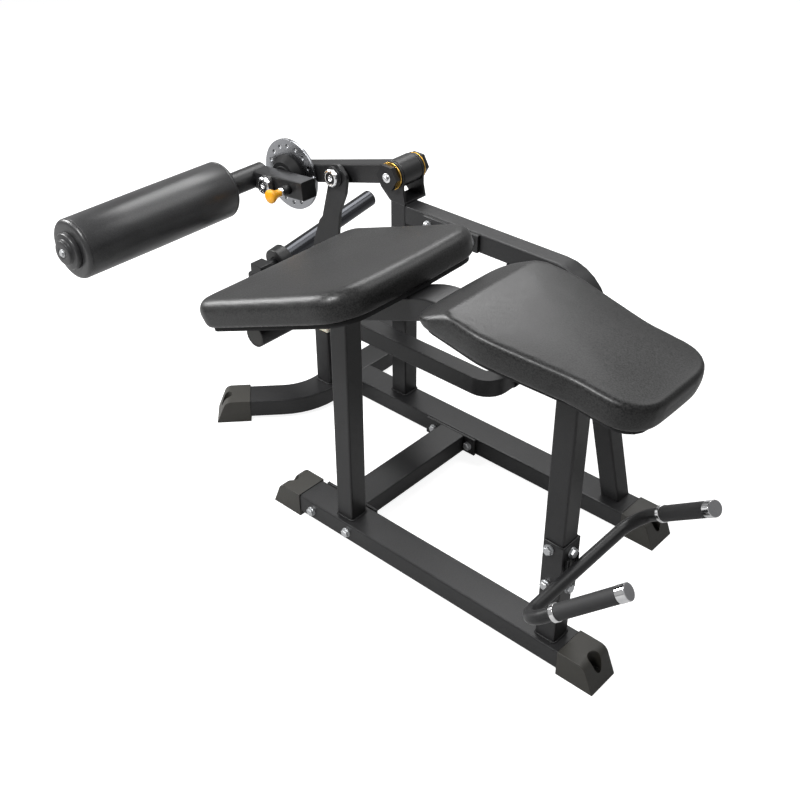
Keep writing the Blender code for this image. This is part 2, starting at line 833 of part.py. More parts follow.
# Roller shaft, foam roller and its end discs
shaft_end = ROLLER_NEAR_Y - 0.012
SHAFT_SHORT = 0.001
piece(
    "roller_shaft",
    ring(
        ROLLER_SHAFT_RADIUS,
        ROLLER_SHAFT_RADIUS - PIPE_WALL,
        shaft_axis + Y * shaft_end,
        shaft_axis + Y * (lever_far - SHAFT_SHORT),
        ROUND,
    ),
    BLACK_COAT,
    shaft_axis,
)
piece(
    "shaft_plug",
    rod(
        ROLLER_SHAFT_RADIUS - PIPE_WALL - SEAT,
        shaft_axis + Y * (lever_far - SHAFT_SHORT - PLUG_DEPTH),
        shaft_axis + Y * (lever_far - SHAFT_SHORT - SEAT),
    ),
    RUBBER,
    shaft_axis,
)
foam_bore = ROLLER_SHAFT_RADIUS + 0.0005
roller_profile = [(foam_bore, ROLLER_NEAR_Y)]
EDGE = 0.022
EDGE_STEPS = 5
for step in range(EDGE_STEPS + 1):
    angle = math.radians(90 * step / EDGE_STEPS)
    roller_profile.append(
        (
            FOAM_RADIUS - EDGE + EDGE * math.sin(angle),
            ROLLER_NEAR_Y + EDGE - EDGE * math.cos(angle),
        )
    )
roller_profile.append((FOAM_RADIUS + 0.0006, (ROLLER_NEAR_Y + ROLLER_FAR_Y) / 2))
for step in range(EDGE_STEPS + 1):
    angle = math.radians(90 * (1 - step / EDGE_STEPS))
    roller_profile.append(
        (
            FOAM_RADIUS - EDGE + EDGE * math.sin(angle),
            ROLLER_FAR_Y - EDGE + EDGE * math.cos(angle),
        )
    )
roller_profile.append((foam_bore, ROLLER_FAR_Y))
roller_middle = shaft_axis + Y * ((ROLLER_NEAR_Y + ROLLER_FAR_Y) / 2)
piece("foam_roller", turned(roller_profile, shaft_axis, Y, FINE, closed=True), FOAM, roller_middle)
END_DISC = 0.046
end_near = ROLLER_NEAR_Y - SIDE_PLAY
piece(
    "roller_end_cap",
    turned(
        [
            (0, shaft_end - SEAT),
            (ROLLER_SHAFT_RADIUS + SEAT, shaft_end - SEAT),
            (ROLLER_SHAFT_RADIUS + SEAT, end_near),
            (END_DISC, end_near),
            (END_DISC, end_near - 0.009),
            (END_DISC - 0.004, end_near - 0.013),
            (END_DISC - 0.014, end_near - 0.014),
            (END_DISC - 0.016, end_near - 0.023),
            (0, end_near - 0.024),
        ],
        shaft_axis,
        Y,
        FINE,
    ),
    BLACK_COAT,
    shaft_axis + Y * end_near,
)
collar_start = ROLLER_FAR_Y + SIDE_PLAY
piece(
    "roller_stop_collar",
    ring(
        0.042,
        ROLLER_SHAFT_RADIUS + SEAT,
        shaft_axis + Y * collar_start,
        shaft_axis + Y * (collar_start + 0.010),
        FINE,
        0.002,
    ),
    BLACK_COAT,
    shaft_axis + Y * collar_start,
)

# Pull pin: barrel fixed in the lever, sliding pin with a flared knob
BARREL = 0.013
barrel_face = lever_near - SEAT
BARREL_LENGTH = 0.022
piece(
    "pin_barrel",
    ring(
        BARREL,
        PIN_RADIUS + RUNNING,
        pin_centre + Y * (barrel_face - BARREL_LENGTH),
        pin_centre + Y * barrel_face,
        ROUND,
        0.0015,
    ),
    BLACK_COAT,
    pin_centre + Y * barrel_face,
)
knob_face = barrel_face - BARREL_LENGTH - SIDE_PLAY
pin_tip = DISC_NEAR_Y - PIN_CLEAR
pin_profile = [
    (0, pin_tip),
    (PIN_RADIUS - 0.001, pin_tip),
    (PIN_RADIUS, pin_tip - 0.002),
    (PIN_RADIUS, knob_face),
    (0.0105, knob_face),
    (0.0115, knob_face - 0.004),
    (0.0100, knob_face - 0.018),
    (0.0125, knob_face - 0.026),
    (0.0175, knob_face - 0.034),
    (0.0185, knob_face - 0.040),
    (0.0170, knob_face - 0.045),
    (0.0120, knob_face - 0.047),
    (0, knob_face - 0.0475),
]
pin_line = Vector((pin_centre.x, 0.0, pin_centre.z))
piece("pull_pin", turned(pin_profile, pin_line, Y, ROUND), YELLOW, pin_centre + Y * lever_near)

# Link plate between the movement arm and the weight lever
link_foot = Vector((LINK_FOOT_X, 0.0, WEIGHT_LEVER_Z))
link_line = link_foot - link_top
link_length = link_line.length
link_way = link_line / link_length
link_side = Vector((-link_way.z, 0.0, link_way.x))
link_corners = [
    (-0.024, -0.022, 0.020),
    (0.005, -0.038, 0.020),
    (0.042, -0.014, 0.016),
    (0.040, 0.036, 0.030),
    (0.023, link_length * 0.26, 0.080),
    (0.022, link_length * 0.52, 0.080),
    (0.036, link_length * 0.87, 0.080),
    (LINK_END, link_length + LINK_END, 0.028),
    (-LINK_END, link_length + LINK_END, 0.028),
    (-0.052, link_length * 0.84, 0.080),
    (-0.066, link_length * 0.60, 0.060),
    (-0.048, link_length * 0.40, 0.012),
    (-0.038, link_length * 0.36, 0.012),
    (-0.024, 0.040, 0.040),
]
link_outline = rounded(link_corners, 4)
link_face = LINK_Y - LINK_THICK / 2
link_start = Vector((link_top.x, link_face, link_top.z))
link = piece(
    "link_plate",
    plate(link_outline, link_start, link_side, link_way, Y * LINK_THICK),
    BLACK_COAT,
    Vector((link_top.x, LINK_Y, link_top.z)),
)
LINK_BOSS_NEAR = 0.433
LINK_BOSS_FAR = 0.4585
combine(
    link,
    [rod(LINK_EYE, link_top + Y * LINK_BOSS_NEAR, link_top + Y * LINK_BOSS_FAR, ROUND, 0.001)],
    "UNION",
)
LEVER_PIN = 0.010
combine(
    link,
    [
        rod(
            BOLT_RADIUS + RUNNING,
            link_top + Y * (LINK_BOSS_NEAR - 0.02),
            link_top + Y * (LINK_BOSS_FAR + 0.02),
            SMALL,
        ),
        rod(LEVER_PIN + 0.001, link_foot + Y * (link_face - 0.02), link_foot + Y * (LINK_Y + 0.03), SMALL),
    ],
    "DIFFERENCE",
)
link_head = LINK_BOSS_NEAR - SIDE_PLAY - BOLT_HEAD
socket_bolt(
    "link_bolt",
    link_top,
    link_head,
    BOLT_HEAD,
    BOLT_RADIUS,
    ARM_Y + POST / 2 + 0.004,
    BOLT_RING,
    link_top + Y * link_head,
)

# Weight lever: long arm, bent in to its pivot under the side tube
lever_line = Vector((0.0, WEIGHT_LEVER_Y, WEIGHT_LEVER_Z))
bearing_low = PIVOT_Y - POST / 2
lever_corners = [
    Vector((WEIGHT_LEVER_FOOT, WEIGHT_LEVER_Y, WEIGHT_LEVER_Z)),
    Vector((LEVER_PIVOT_X, WEIGHT_LEVER_Y, WEIGHT_LEVER_Z)),
    Vector((LEVER_PIVOT_X, bearing_low - SIDE_PLAY, WEIGHT_LEVER_Z)),
]
lever_path = bent_path(lever_corners, LEVER_BEND_RADIUS - POST / 2)
lever_pivot = Vector((LEVER_PIVOT_X, PIVOT_Y, WEIGHT_LEVER_Z))
weight_lever = piece(
    "weight_lever",
    box_tube(lever_path, Z, POST, POST),
    BLACK_COAT,
    lever_pivot,
)
sleeve_way = Vector((0.0, math.cos(SLEEVE_RISE), math.sin(SLEEVE_RISE)))
sleeve_root = Vector((SLEEVE_X, WEIGHT_LEVER_Y, WEIGHT_LEVER_Z + 0.026))
NECK = 0.017
COLLAR_START = 0.052
COLLAR_LENGTH = 0.038
LUG_HALF = POST / 2 - 0.003
lever_far_face = WEIGHT_LEVER_Y + POST / 2
pin_profile_lever = [
    (0, lever_far_face - 0.010),
    (0.018, lever_far_face - 0.010),
    (0.018, link_face - 0.011),
    (0.017, link_face - 0.010),
    (LEVER_PIN, link_face - 0.010),
    (LEVER_PIN, link_face - SEAT),
    (0, link_face - SEAT),
]
combine(
    weight_lever,
    [
        block(
            (SLEEVE_X - LUG_HALF, WEIGHT_LEVER_Y - LUG_HALF, WEIGHT_LEVER_Z + POST / 2 - WALL / 2),
            (SLEEVE_X + LUG_HALF, WEIGHT_LEVER_Y + LUG_HALF, WEIGHT_LEVER_Z + 0.055),
            0.003,
        ),
        rod(NECK, sleeve_root, sleeve_root + sleeve_way * SLEEVE_REACH * 0.9, SMALL),
        turned(pin_profile_lever, link_foot, Y, SMALL),
        rod(
            SHAFT_RADIUS,
            lever_corners[-1] - Y * END_PLATE * 0.7,
            lever_pivot + Y * (POST / 2 + 0.012),
            ROUND,
        ),
        end_plate(lever_corners[-1], Y, Z),
    ],
    "UNION",
)
square_plug("weight_lever_plug", lever_corners[0], -X, Z)
piece(
    "sleeve_collar",
    ring(
        0.040,
        NECK + SEAT,
        sleeve_root + sleeve_way * COLLAR_START,
        sleeve_root + sleeve_way * (COLLAR_START + COLLAR_LENGTH),
        FINE,
        0.002,
    ),
    BLACK_COAT,
    sleeve_root + sleeve_way * COLLAR_START,
)
sleeve_start = COLLAR_START + COLLAR_LENGTH + SEAT
sleeve_bore = NECK + SEAT
neck_end = SLEEVE_REACH * 0.9 + SEAT
sleeve_profile = [
    (0, neck_end),
    (sleeve_bore, neck_end),
    (sleeve_bore, sleeve_start),
    (SLEEVE_RADIUS, sleeve_start),
    (SLEEVE_RADIUS, SLEEVE_REACH - 0.006),
    (SLEEVE_RADIUS - 0.002, SLEEVE_REACH - 0.002),
    (SLEEVE_RADIUS - 0.006, SLEEVE_REACH),
    (0, SLEEVE_REACH),
]
piece("weight_sleeve", turned(sleeve_profile, sleeve_root, sleeve_way, ROUND), DARK_CHROME, sleeve_root)
piece(
    "lever_shaft_collar",
    ring(
        0.021,
        SHAFT_RADIUS + RUNNING,
        lever_pivot + Y * (POST / 2 + SIDE_PLAY),
        lever_pivot + Y * (POST / 2 + SIDE_PLAY + 0.010),
        ROUND,
        0.001,
    ),
    ZINC,
    lever_pivot,
)

# Hanger and bearing that carry the weight lever
hanger_path = straight(
    Vector((LEVER_PIVOT_X, PIVOT_Y, WEIGHT_LEVER_Z + BEARING_RADIUS - 0.012)),
    Vector((LEVER_PIVOT_X, PIVOT_Y, SIDE_TUBE_Z - POST / 2 - SEAT)),
)
hanger = piece("lever_hanger", box_tube(hanger_path, X, POST, POST), BLACK_COAT)
combine(
    hanger,
    [rod(BEARING_RADIUS, lever_pivot - Y * POST / 2, lever_pivot + Y * POST / 2, ROUND, 0.001)],
    "UNION",
)
combine(
    hanger,
    [rod(SHAFT_RADIUS + RUNNING, lever_pivot - Y * 0.1, lever_pivot + Y * 0.1, ROUND)],
    "DIFFERENCE",
)

# Pad spine, and the round cross tube that it butts against
rise_way = Vector((math.cos(SPINE_RISE), 0.0, math.sin(SPINE_RISE)))
fall_way = Vector((math.cos(SPINE_FALL), 0.0, -math.sin(SPINE_FALL)))
spine_bend = Vector((SPINE_BEND_X, 0.0, SPINE_BEND_Z))
cross_middle = Vector((CROSS_TUBE_X, 0.0, spine_centre(CROSS_TUBE_X)))
cross_axis = cross_middle + rise_normal * (SPINE_DEPTH / 2 - CROSS_TUBE_RADIUS)
spine_start = cross_middle + rise_way * (CROSS_TUBE_RADIUS + SEAT)
spine_end = Vector((SPINE_HEAD_X, 0.0, spine_centre(SPINE_HEAD_X)))
spine_path = bent_path([spine_start, spine_bend, spine_end], SPINE_BEND_RADIUS)
piece("pad_spine", box_tube(spine_path, Y, SPINE_WIDTH, SPINE_DEPTH), BLACK_COAT)

square_plug("spine_plug", spine_end, fall_way, Y, SPINE_WIDTH, SPINE_DEPTH)

side_near_face = PIVOT_Y - POST / 2
FLANGE_HALF = 0.0855
flange_face = side_near_face - SEAT
cross_tube = piece(
    "pad_cross_tube",
    ring(
        CROSS_TUBE_RADIUS,
        CROSS_TUBE_RADIUS - PIPE_WALL,
        cross_axis + Y * CROSS_TUBE_NEAR,
        cross_axis + Y * (flange_face - FLANGE / 2),
        ROUND,
        0.001,
    ),
    BLACK_COAT,
)
board_under = SPINE_DEPTH / 2 + SEAT
combine(
    cross_tube,
    [
        block(
            (CROSS_TUBE_X - FLANGE_HALF, flange_face - FLANGE, SIDE_TUBE_Z - POST / 2 + 0.002),
            (CROSS_TUBE_X + FLANGE_HALF, flange_face, SIDE_TUBE_Z + POST / 2 - 0.002),
            0.0012,
            1,
        ),
    ],
    "UNION",
)
plug_radius = CROSS_TUBE_RADIUS - PIPE_WALL - SEAT
piece(
    "cross_tube_plug",
    rod(
        plug_radius,
        cross_axis + Y * (CROSS_TUBE_NEAR + SEAT),
        cross_axis + Y * (CROSS_TUBE_NEAR + PLUG_DEPTH),
    ),
    RUBBER,
)


# Pads: a board with a crowned cushion whose sides draw in towards it
def spaced(outline, longest):
    """Extra points along the straight runs of an outline."""
    points = []
    for i, (x, y) in enumerate(outline):
        nx, ny = outline[(i + 1) % len(outline)]
        parts = max(1, round(math.hypot(nx - x, ny - y) / longest))
        for part in range(parts):
            points.append((x + (nx - x) * part / parts, y + (ny - y) * part / parts))
    return points


def offset(outline, distance):
    """The outline moved outward by a distance, corners kept."""
    moved = []
    count = len(outline)
    for i in range(count):
        before = Vector(outline[i - 1])
        here = Vector(outline[i])
        after = Vector(outline[(i + 1) % count])
        first = (here - before).normalized()
        second = (after - here).normalized()
        normal = (Vector((first.y, -first.x)) + Vector((second.y, -second.x))).normalized()
        moved.append(tuple(here + normal * distance))
    return moved


def cushion(outline):
    """A rounded slab in its own frame: x along, y across, z up from the board."""
    bm = bmesh.new()
    thick = PAD_THICK
    low_edge = PAD_LOW_EDGE
    top_edge = PAD_TOP_EDGE
    levels = []
    for step in range(4):
        angle = math.radians(30 * step)
        levels.append((-PAD_DRAW - low_edge * (1 - math.sin(angle)), low_edge * (1 - math.cos(angle))))
    levels.append((-0.001, (low_edge + thick - top_edge) / 2 + 0.004))
    for step in range(6):
        angle = math.radians(18 * step)
        levels.append((-top_edge * (1 - math.cos(angle)), thick - top_edge * (1 - math.sin(angle))))
    rings = []
    for distance, height in levels:
        rings.append([bm.verts.new((x, y, height)) for x, y in offset(outline, distance)])
    inner = [vert.co.copy() for vert in rings[-1]]
    middle = sum(inner, Vector((0, 0, 0))) / len(inner)
    middle.y = 0.0
    for scale in (0.86, 0.62, 0.34):
        lift = PAD_CROWN * (1 - scale * scale)
        loop = []
        for co in inner:
            point = middle + (co - middle) * scale
            loop.append(bm.verts.new((point.x, point.y, thick + lift)))
        rings.append(loop)
    for first, second in zip(rings, rings[1:]):
        skin(bm, first, second)
    peak = bm.verts.new((middle.x, middle.y, thick + PAD_CROWN))
    last = rings[-1]
    for i in range(len(last)):
        bm.faces.new((peak, last[i], last[(i + 1) % len(last)]))
    bm.faces.new(rings[0])
    return bm


def placed(bm, base, along, up):
    """Moves a shape from its own frame to the frame of base, along and up."""
    for vert in bm.verts:
        x, y, z = vert.co
        vert.co = base + along * x + Y * y + up * z
    return bm


def board(outline, base, along, up):
    inset = offset(outline, -BOARD_INSET)
    return plate(inset, base, along, Y, up * BOARD_THICK)


thigh_outline = spaced(
    rounded(
        [
            (THIGH_FOOT, -THIGH_FOOT_HALF, 0.045),
            (THIGH_HEAD, -THIGH_HEAD_HALF, 0.085),
            (THIGH_HEAD + THIGH_BOW, 0.0, 0.300),
            (THIGH_HEAD, THIGH_HEAD_HALF, 0.085),
            (THIGH_FOOT, THIGH_FOOT_HALF, 0.045),
        ],
        6,
    ),
    0.065,
)
pad_lift = BOARD_THICK + SEAT
thigh_base = Vector((0.0, 0.0, spine_centre(0.0))) + rise_normal * board_under
piece("thigh_board", board(thigh_outline, thigh_base, rise_way, rise_normal), BOARD)
thigh_pad = cushion(thigh_outline)
piece("thigh_pad", placed(thigh_pad, thigh_base + rise_normal * pad_lift, rise_way, rise_normal), VINYL)

chest_base = Vector((CHEST_BASE_X, 0.0, spine_centre(CHEST_BASE_X))) + fall_normal * board_under
chest_half = [
    (CHEST_FOOT, 0.142, 0.050),
    (0.080, 0.155, 0.200),
    (0.255, 0.126, 0.200),
    (CHEST_HEAD, 0.126, 0.070),
]
chest_corners = [(x, -y, r) for x, y, r in chest_half] + [(x, y, r) for x, y, r in reversed(chest_half)]
chest_outline = spaced(rounded(chest_corners, 5), 0.065)
piece("chest_board", board(chest_outline, chest_base, fall_way, fall_normal), BOARD)
chest_pad = cushion(chest_outline)
bmesh.ops.bisect_plane(
    chest_pad,
    geom=chest_pad.verts[:] + chest_pad.edges[:] + chest_pad.faces[:],
    plane_co=(CHEST_CREASE, 0, 0),
    plane_no=(1, 0, 0),
)
for vert in chest_pad.verts:
    if vert.co.x < CHEST_CREASE:
        vert.co.z *= 1 - (CHEST_CREASE - vert.co.x) * CHEST_SLANT / PAD_THICK
piece("chest_pad", placed(chest_pad, chest_base + fall_normal * pad_lift, fall_way, fall_normal), VINYL)

# Handle: bracket round the chest post, bent bar, grips, collars and end caps
post_low_x = CHEST_POST_X - POST / 2
post_high_x = CHEST_POST_X + POST / 2
wrap = POST / 2 + SEAT
handle_bracket = piece(
    "handle_bracket",
    block(
        (post_low_x + BRACKET_PLATE, -wrap - BRACKET_PLATE, BRACKET_LOW),
        (post_high_x + SEAT + BRACKET_PLATE, wrap + BRACKET_PLATE, BRACKET_HIGH),
        0.002,
        1,
    ),
    BLACK_COAT,
)
combine(
    handle_bracket,
    [
        block(
            (post_low_x - 0.01, -wrap, BRACKET_LOW - 0.01),
            (post_high_x + SEAT, wrap, BRACKET_HIGH + 0.01),
        )
    ],
    "DIFFERENCE",
)
bar_back = HANDLE_X - HANDLE_RADIUS - SEAT
combine(
    handle_bracket,
    [
        block(
            (post_high_x + SEAT + BRACKET_PLATE / 2, side * 0.016 - PLATE / 2, HANDLE_Z - 0.022),
            (bar_back, side * 0.016 + PLATE / 2, HANDLE_Z + 0.018),
        )
        for side in (-1, 1)
    ],
    "UNION",
)
handle_ways = {}
for name, side in (("near", -1), ("far", 1)):
    level = math.cos(HANDLE_RISE) * math.cos(HANDLE_TOE)
    handle_ways[name] = Vector((level, -side * math.sin(HANDLE_TOE), math.sin(HANDLE_RISE))).normalized()
near_corner = Vector((HANDLE_X, -HANDLE_HALF, HANDLE_Z))
far_corner = Vector((HANDLE_X, HANDLE_HALF, HANDLE_Z))
CAP_FLOOR = 0.003
bar_path = bent_path(
    [
        near_corner + handle_ways["near"] * (HANDLE_ARM - CAP_FLOOR),
        near_corner,
        far_corner,
        far_corner + handle_ways["far"] * (HANDLE_ARM - CAP_FLOOR),
    ],
    HANDLE_BEND,
)
piece(
    "handle_bar",
    swept(bar_path, Z, round_section(HANDLE_RADIUS), round_section(HANDLE_RADIUS - WALL)),
    BLACK_COAT,
)
bar_bore = HANDLE_RADIUS + SEAT
for name, corner in (("near", near_corner), ("far", far_corner)):
    way = handle_ways[name]
    piece(
        f"grip_collar_{name}",
        ring(
            FERRULE_RADIUS,
            bar_bore,
            corner + way * COLLAR_AT,
            corner + way * (GRIP_AT - SEAT),
            ROUND,
            0.001,
        ),
        CHROME,
    )
    piece(
        f"grip_{name}",
        ring(GRIP_RADIUS, bar_bore, corner + way * GRIP_AT, corner + way * (END_AT - SEAT), ROUND, 0.001),
        FOAM,
    )
    cap_profile = [
        (0, HANDLE_ARM - CAP_FLOOR + SEAT),
        (bar_bore, HANDLE_ARM - CAP_FLOOR + SEAT),
        (bar_bore, END_AT),
        (GRIP_CAP_RADIUS - 0.001, END_AT),
        (GRIP_CAP_RADIUS, END_AT + 0.001),
        (GRIP_CAP_RADIUS, HANDLE_ARM - 0.001),
        (GRIP_CAP_RADIUS - 0.001, HANDLE_ARM),
        (0, HANDLE_ARM),
    ]
    piece(f"grip_end_{name}", turned(cap_profile, corner, way, ROUND), CHROME)

# The object rests on the floor, its origin under the middle of its bounding box
bpy.context.view_layer.update()
solids = [obj for obj in bpy.context.scene.objects if obj.type == "MESH"]
corners = [obj.matrix_world @ vert.co for obj in solids for vert in obj.data.vertices]
middle_x = (min(co.x for co in corners) + max(co.x for co in corners)) / 2
middle_y = (min(co.y for co in corners) + max(co.y for co in corners)) / 2
for obj in solids:
    obj.location -= Vector((middle_x, middle_y, 0.0))
    obj.data.shade_smooth()
    obj.data.set_sharp_from_angle(angle=math.radians(35))
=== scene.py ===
"""Lying hamstring machine: the finished look of each piece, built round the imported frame.

The object's own point is the middle of the thigh post at the floor: +X toward the head end,
+Y toward the side where plates are loaded, +Z up, all in metres.
"""

import json
import math

import bmesh
import bpy
import numpy as np
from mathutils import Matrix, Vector
from mathutils.bvhtree import BVHTree


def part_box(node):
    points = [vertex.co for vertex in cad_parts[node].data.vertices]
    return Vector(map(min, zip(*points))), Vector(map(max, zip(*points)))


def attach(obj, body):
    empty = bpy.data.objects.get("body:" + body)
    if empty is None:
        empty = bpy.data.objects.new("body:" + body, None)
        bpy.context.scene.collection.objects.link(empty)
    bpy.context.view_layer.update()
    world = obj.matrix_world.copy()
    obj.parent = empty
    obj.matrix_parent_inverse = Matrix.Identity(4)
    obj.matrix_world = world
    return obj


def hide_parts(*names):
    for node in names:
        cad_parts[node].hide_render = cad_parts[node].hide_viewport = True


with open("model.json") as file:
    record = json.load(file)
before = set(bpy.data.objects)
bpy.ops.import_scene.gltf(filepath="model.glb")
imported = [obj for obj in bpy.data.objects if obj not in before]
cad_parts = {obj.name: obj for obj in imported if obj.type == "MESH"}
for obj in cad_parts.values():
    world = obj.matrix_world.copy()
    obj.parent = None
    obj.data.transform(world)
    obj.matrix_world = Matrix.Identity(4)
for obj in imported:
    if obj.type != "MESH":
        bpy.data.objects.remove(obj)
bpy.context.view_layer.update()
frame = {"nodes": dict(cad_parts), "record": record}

# Camera
# The photograph looks down on the machine from the head end, on the side away from the plates.
# The lens and the place were worked out from the straight edges of the tubes.
post_low, post_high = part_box("thigh_post")
home = Vector(((post_low.x + post_high.x) / 2, (post_low.y + post_high.y) / 2, 0.0))
along_x = Vector((1.0, 0.0, 0.0))
along_y = Vector((0.0, 1.0, 0.0))
along_z = Vector((0.0, 0.0, 1.0))


def at(x, y, z):
    """A place given from the object's own point."""
    return home + Vector((x, y, z))


camera_data = bpy.data.cameras.new("camera")
camera_data.lens = 51.38
camera_data.sensor_width = 36.0
camera_data.shift_x = -0.0085
camera_data.shift_y = -0.003
camera = bpy.data.objects.new("camera", camera_data)
camera.location = at(1.4931, -1.4788, 1.833)
camera.rotation_euler = (math.radians(90 - 34.45), 0.0, math.radians(41.7))
bpy.context.scene.collection.objects.link(camera)
bpy.context.scene.camera = camera

# Studio
# A sheet of pale grey paper under four broad, soft lamps. The camera sees paper and sky as white,
# and chrome mirrors them at a level between. Nearly all the light is the lamps' own.
scene = bpy.context.scene
scene.view_settings.view_transform = "Standard"


def linear(code):
    """An sRGB hex colour as linear red, green, blue and alpha."""
    channels = [int(code[i : i + 2], 16) / 255 for i in (1, 3, 5)]
    return (*(c / 12.92 if c <= 0.04045 else ((c + 0.055) / 1.055) ** 2.4 for c in channels), 1.0)


def add(tree, kind, settings=None, links=None):
    """Adds a node with its properties, its plain socket values and its links."""
    made = tree.nodes.new(kind)
    for key, value in (settings or {}).items():
        if isinstance(key, str) and hasattr(made, key):
            setattr(made, key, value)
        else:
            made.inputs[key].default_value = value
    for key, source in (links or {}).items():
        tree.links.new(source, made.inputs[key])
    return made


def seen(tree, low, mirrored, shown):
    """A strength for plain light, one for reflections and glass, and one for the camera."""
    path = add(tree, "ShaderNodeLightPath")
    rays = {0: path.outputs["Is Glossy Ray"], 1: path.outputs["Is Transmission Ray"]}
    mirror = {"Value": add(tree, "ShaderNodeMath", {"operation": "MAXIMUM"}, rays).outputs[0]}
    bright = add(tree, "ShaderNodeMapRange", {"To Min": low, "To Max": mirrored}, mirror)
    lens = {"Value": path.outputs["Is Camera Ray"], "To Min": bright.outputs[0]}
    return add(tree, "ShaderNodeMapRange", {"To Max": shown}, lens).outputs[0]


world = bpy.data.worlds.new("studio")
world.use_nodes = True
scene.world = world
tree = world.node_tree
tree.nodes.clear()
sky_level = {"Strength": seen(tree, 0.04, 0.50, 1.0)}
sky = add(tree, "ShaderNodeBackground", {"Color": (1, 1, 1, 1)}, sky_level)
add(tree, "ShaderNodeOutputWorld", None, {"Surface": sky.outputs[0]})

sweep = bpy.data.meshes.new("sweep")
reach = 9.0
sweep.from_pydata(
    [at(-reach, -reach, 0.0), at(reach, -reach, 0.0), at(reach, reach, 0.0), at(-reach, reach, 0.0)],
    [],
    [(0, 1, 2, 3)],
)
floor = bpy.data.objects.new("floor", sweep)
scene.collection.objects.link(floor)
paper = bpy.data.materials.new("pale_grey_paper")
paper.use_nodes = True
tree = paper.node_tree
shader = tree.nodes["Principled BSDF"]
shader.inputs["Base Color"].default_value = linear("#b6b6b6")
shader.inputs["Roughness"].default_value = 0.9
shader.inputs["Emission Color"].default_value = (1.0, 1.0, 1.0, 1.0)
tree.links.new(seen(tree, 0.0, 0.12, 0.90), shader.inputs["Emission Strength"])
sweep.materials.append(paper)

for name, spot, aim, size, power in (
    ("back_softbox", (-1.22, 1.80, 2.90), (-0.2, 0.15, 0.5), 1.5, 52.0),
    ("foot_strip", (-2.75, -0.85, 2.00), (0.0, -0.1, 0.75), 1.2, 95.0),
    ("near_softbox", (-0.30, -2.10, 3.05), (0.3, -0.1, 0.75), 0.9, 112.0),
    ("head_softbox", (1.00, 1.85, 3.10), (0.0, 0.15, 0.6), 1.8, 30.0),
):
    lamp = bpy.data.lights.new(name, "AREA")
    lamp.shape = "SQUARE"
    lamp.size = size
    lamp.energy = power
    holder = bpy.data.objects.new(name, lamp)
    holder.location = at(*spot)
    holder.rotation_euler = (Vector(aim) - Vector(spot)).to_track_quat("-Z", "Y").to_euler()
    scene.collection.objects.link(holder)

# Welded frame
# Square and flat steel tube, MIG welded and powder coated matt black. The bends of the tube and
# the thickness of the coat round every edge to a millimetre or two.


def surface(name, code, metallic, roughness):
    """A named material with its Principled shader."""
    made = bpy.data.materials.new(name)
    made.use_nodes = True
    shader = made.node_tree.nodes["Principled BSDF"]
    shader.inputs["Base Color"].default_value = linear(code)
    shader.inputs["Metallic"].default_value = metallic
    shader.inputs["Roughness"].default_value = roughness
    return made


def grain(mat, scale, depth, strength, colours, roughness, stretch=(1.0, 1.0, 1.0), share=0.35):
    """Colour, roughness and height that vary in patches, scale of them to a metre, and in clouds."""
    tree = mat.node_tree
    shader = tree.nodes["Principled BSDF"]
    place = add(tree, "ShaderNodeTexCoord").outputs["Object"]
    drawn_out = add(tree, "ShaderNodeMapping", {"Scale": stretch}, {"Vector": place}).outputs[0]
    fine = add(tree, "ShaderNodeTexNoise", {"Scale": scale, "Detail": 3.0}, {"Vector": drawn_out})
    broad = add(tree, "ShaderNodeTexNoise", {"Scale": 9.0, "Detail": 2.0}, {"Vector": place})
    both = add(
        tree,
        "ShaderNodeMix",
        {"data_type": "FLOAT", 0: share},
        {2: fine.outputs["Fac"], 3: broad.outputs["Fac"]},
    )
    spread = add(tree, "ShaderNodeMapRange", {"From Min": 0.35, "From Max": 0.65}, {"Value": both.outputs[0]})
    tint = add(
        tree,
        "ShaderNodeMix",
        {"data_type": "RGBA", 6: linear(colours[0]), 7: linear(colours[1])},
        {0: spread.outputs[0]},
    )
    tree.links.new(tint.outputs[2], shader.inputs["Base Color"])
    polish = add(
        tree,
        "ShaderNodeMapRange",
        {"From Min": 0.3, "From Max": 0.7, "To Min": roughness[0], "To Max": roughness[1]},
        {"Value": both.outputs[0]},
    )
    tree.links.new(polish.outputs[0], shader.inputs["Roughness"])
    height = {"Height": fine.outputs["Fac"]}
    bump = add(tree, "ShaderNodeBump", {"Strength": strength, "Distance": depth}, height)
    tree.links.new(bump.outputs[0], shader.inputs["Normal"])


# A powder coat sets with an orange peel of waves about 2 mm long, which breaks up its soft shine.
powder = surface("powder_coated_steel", "#1a1a1b", 0.0, 0.42)
powder.node_tree.nodes["Principled BSDF"].inputs["Specular IOR Level"].default_value = 0.36
grain(powder, 480.0, 0.0004, 0.22, ("#131314", "#242425"), (0.34, 0.46))

body_of_node = {}
for body, members in frame["record"]["behaviour"]["bodies"].items():
    for member in members:
        body_of_node[member] = body


def settle(piece):
    """Applies a piece's modifiers, so that only a plain mesh is left."""
    graph = bpy.context.evaluated_depsgraph_get()
    done = bpy.data.meshes.new_from_object(piece.evaluated_get(graph))
    piece.modifiers.clear()
    piece.data = done
    done.name = piece.name
    return piece


def merged(node):
    """The node's own form as one joined shell."""
    bm = bmesh.new()
    bm.from_mesh(frame["nodes"][node].data)
    bmesh.ops.remove_doubles(bm, verts=bm.verts, dist=0.00002)
    bmesh.ops.dissolve_limit(bm, angle_limit=math.radians(0.6), verts=bm.verts, edges=bm.edges)
    return bm


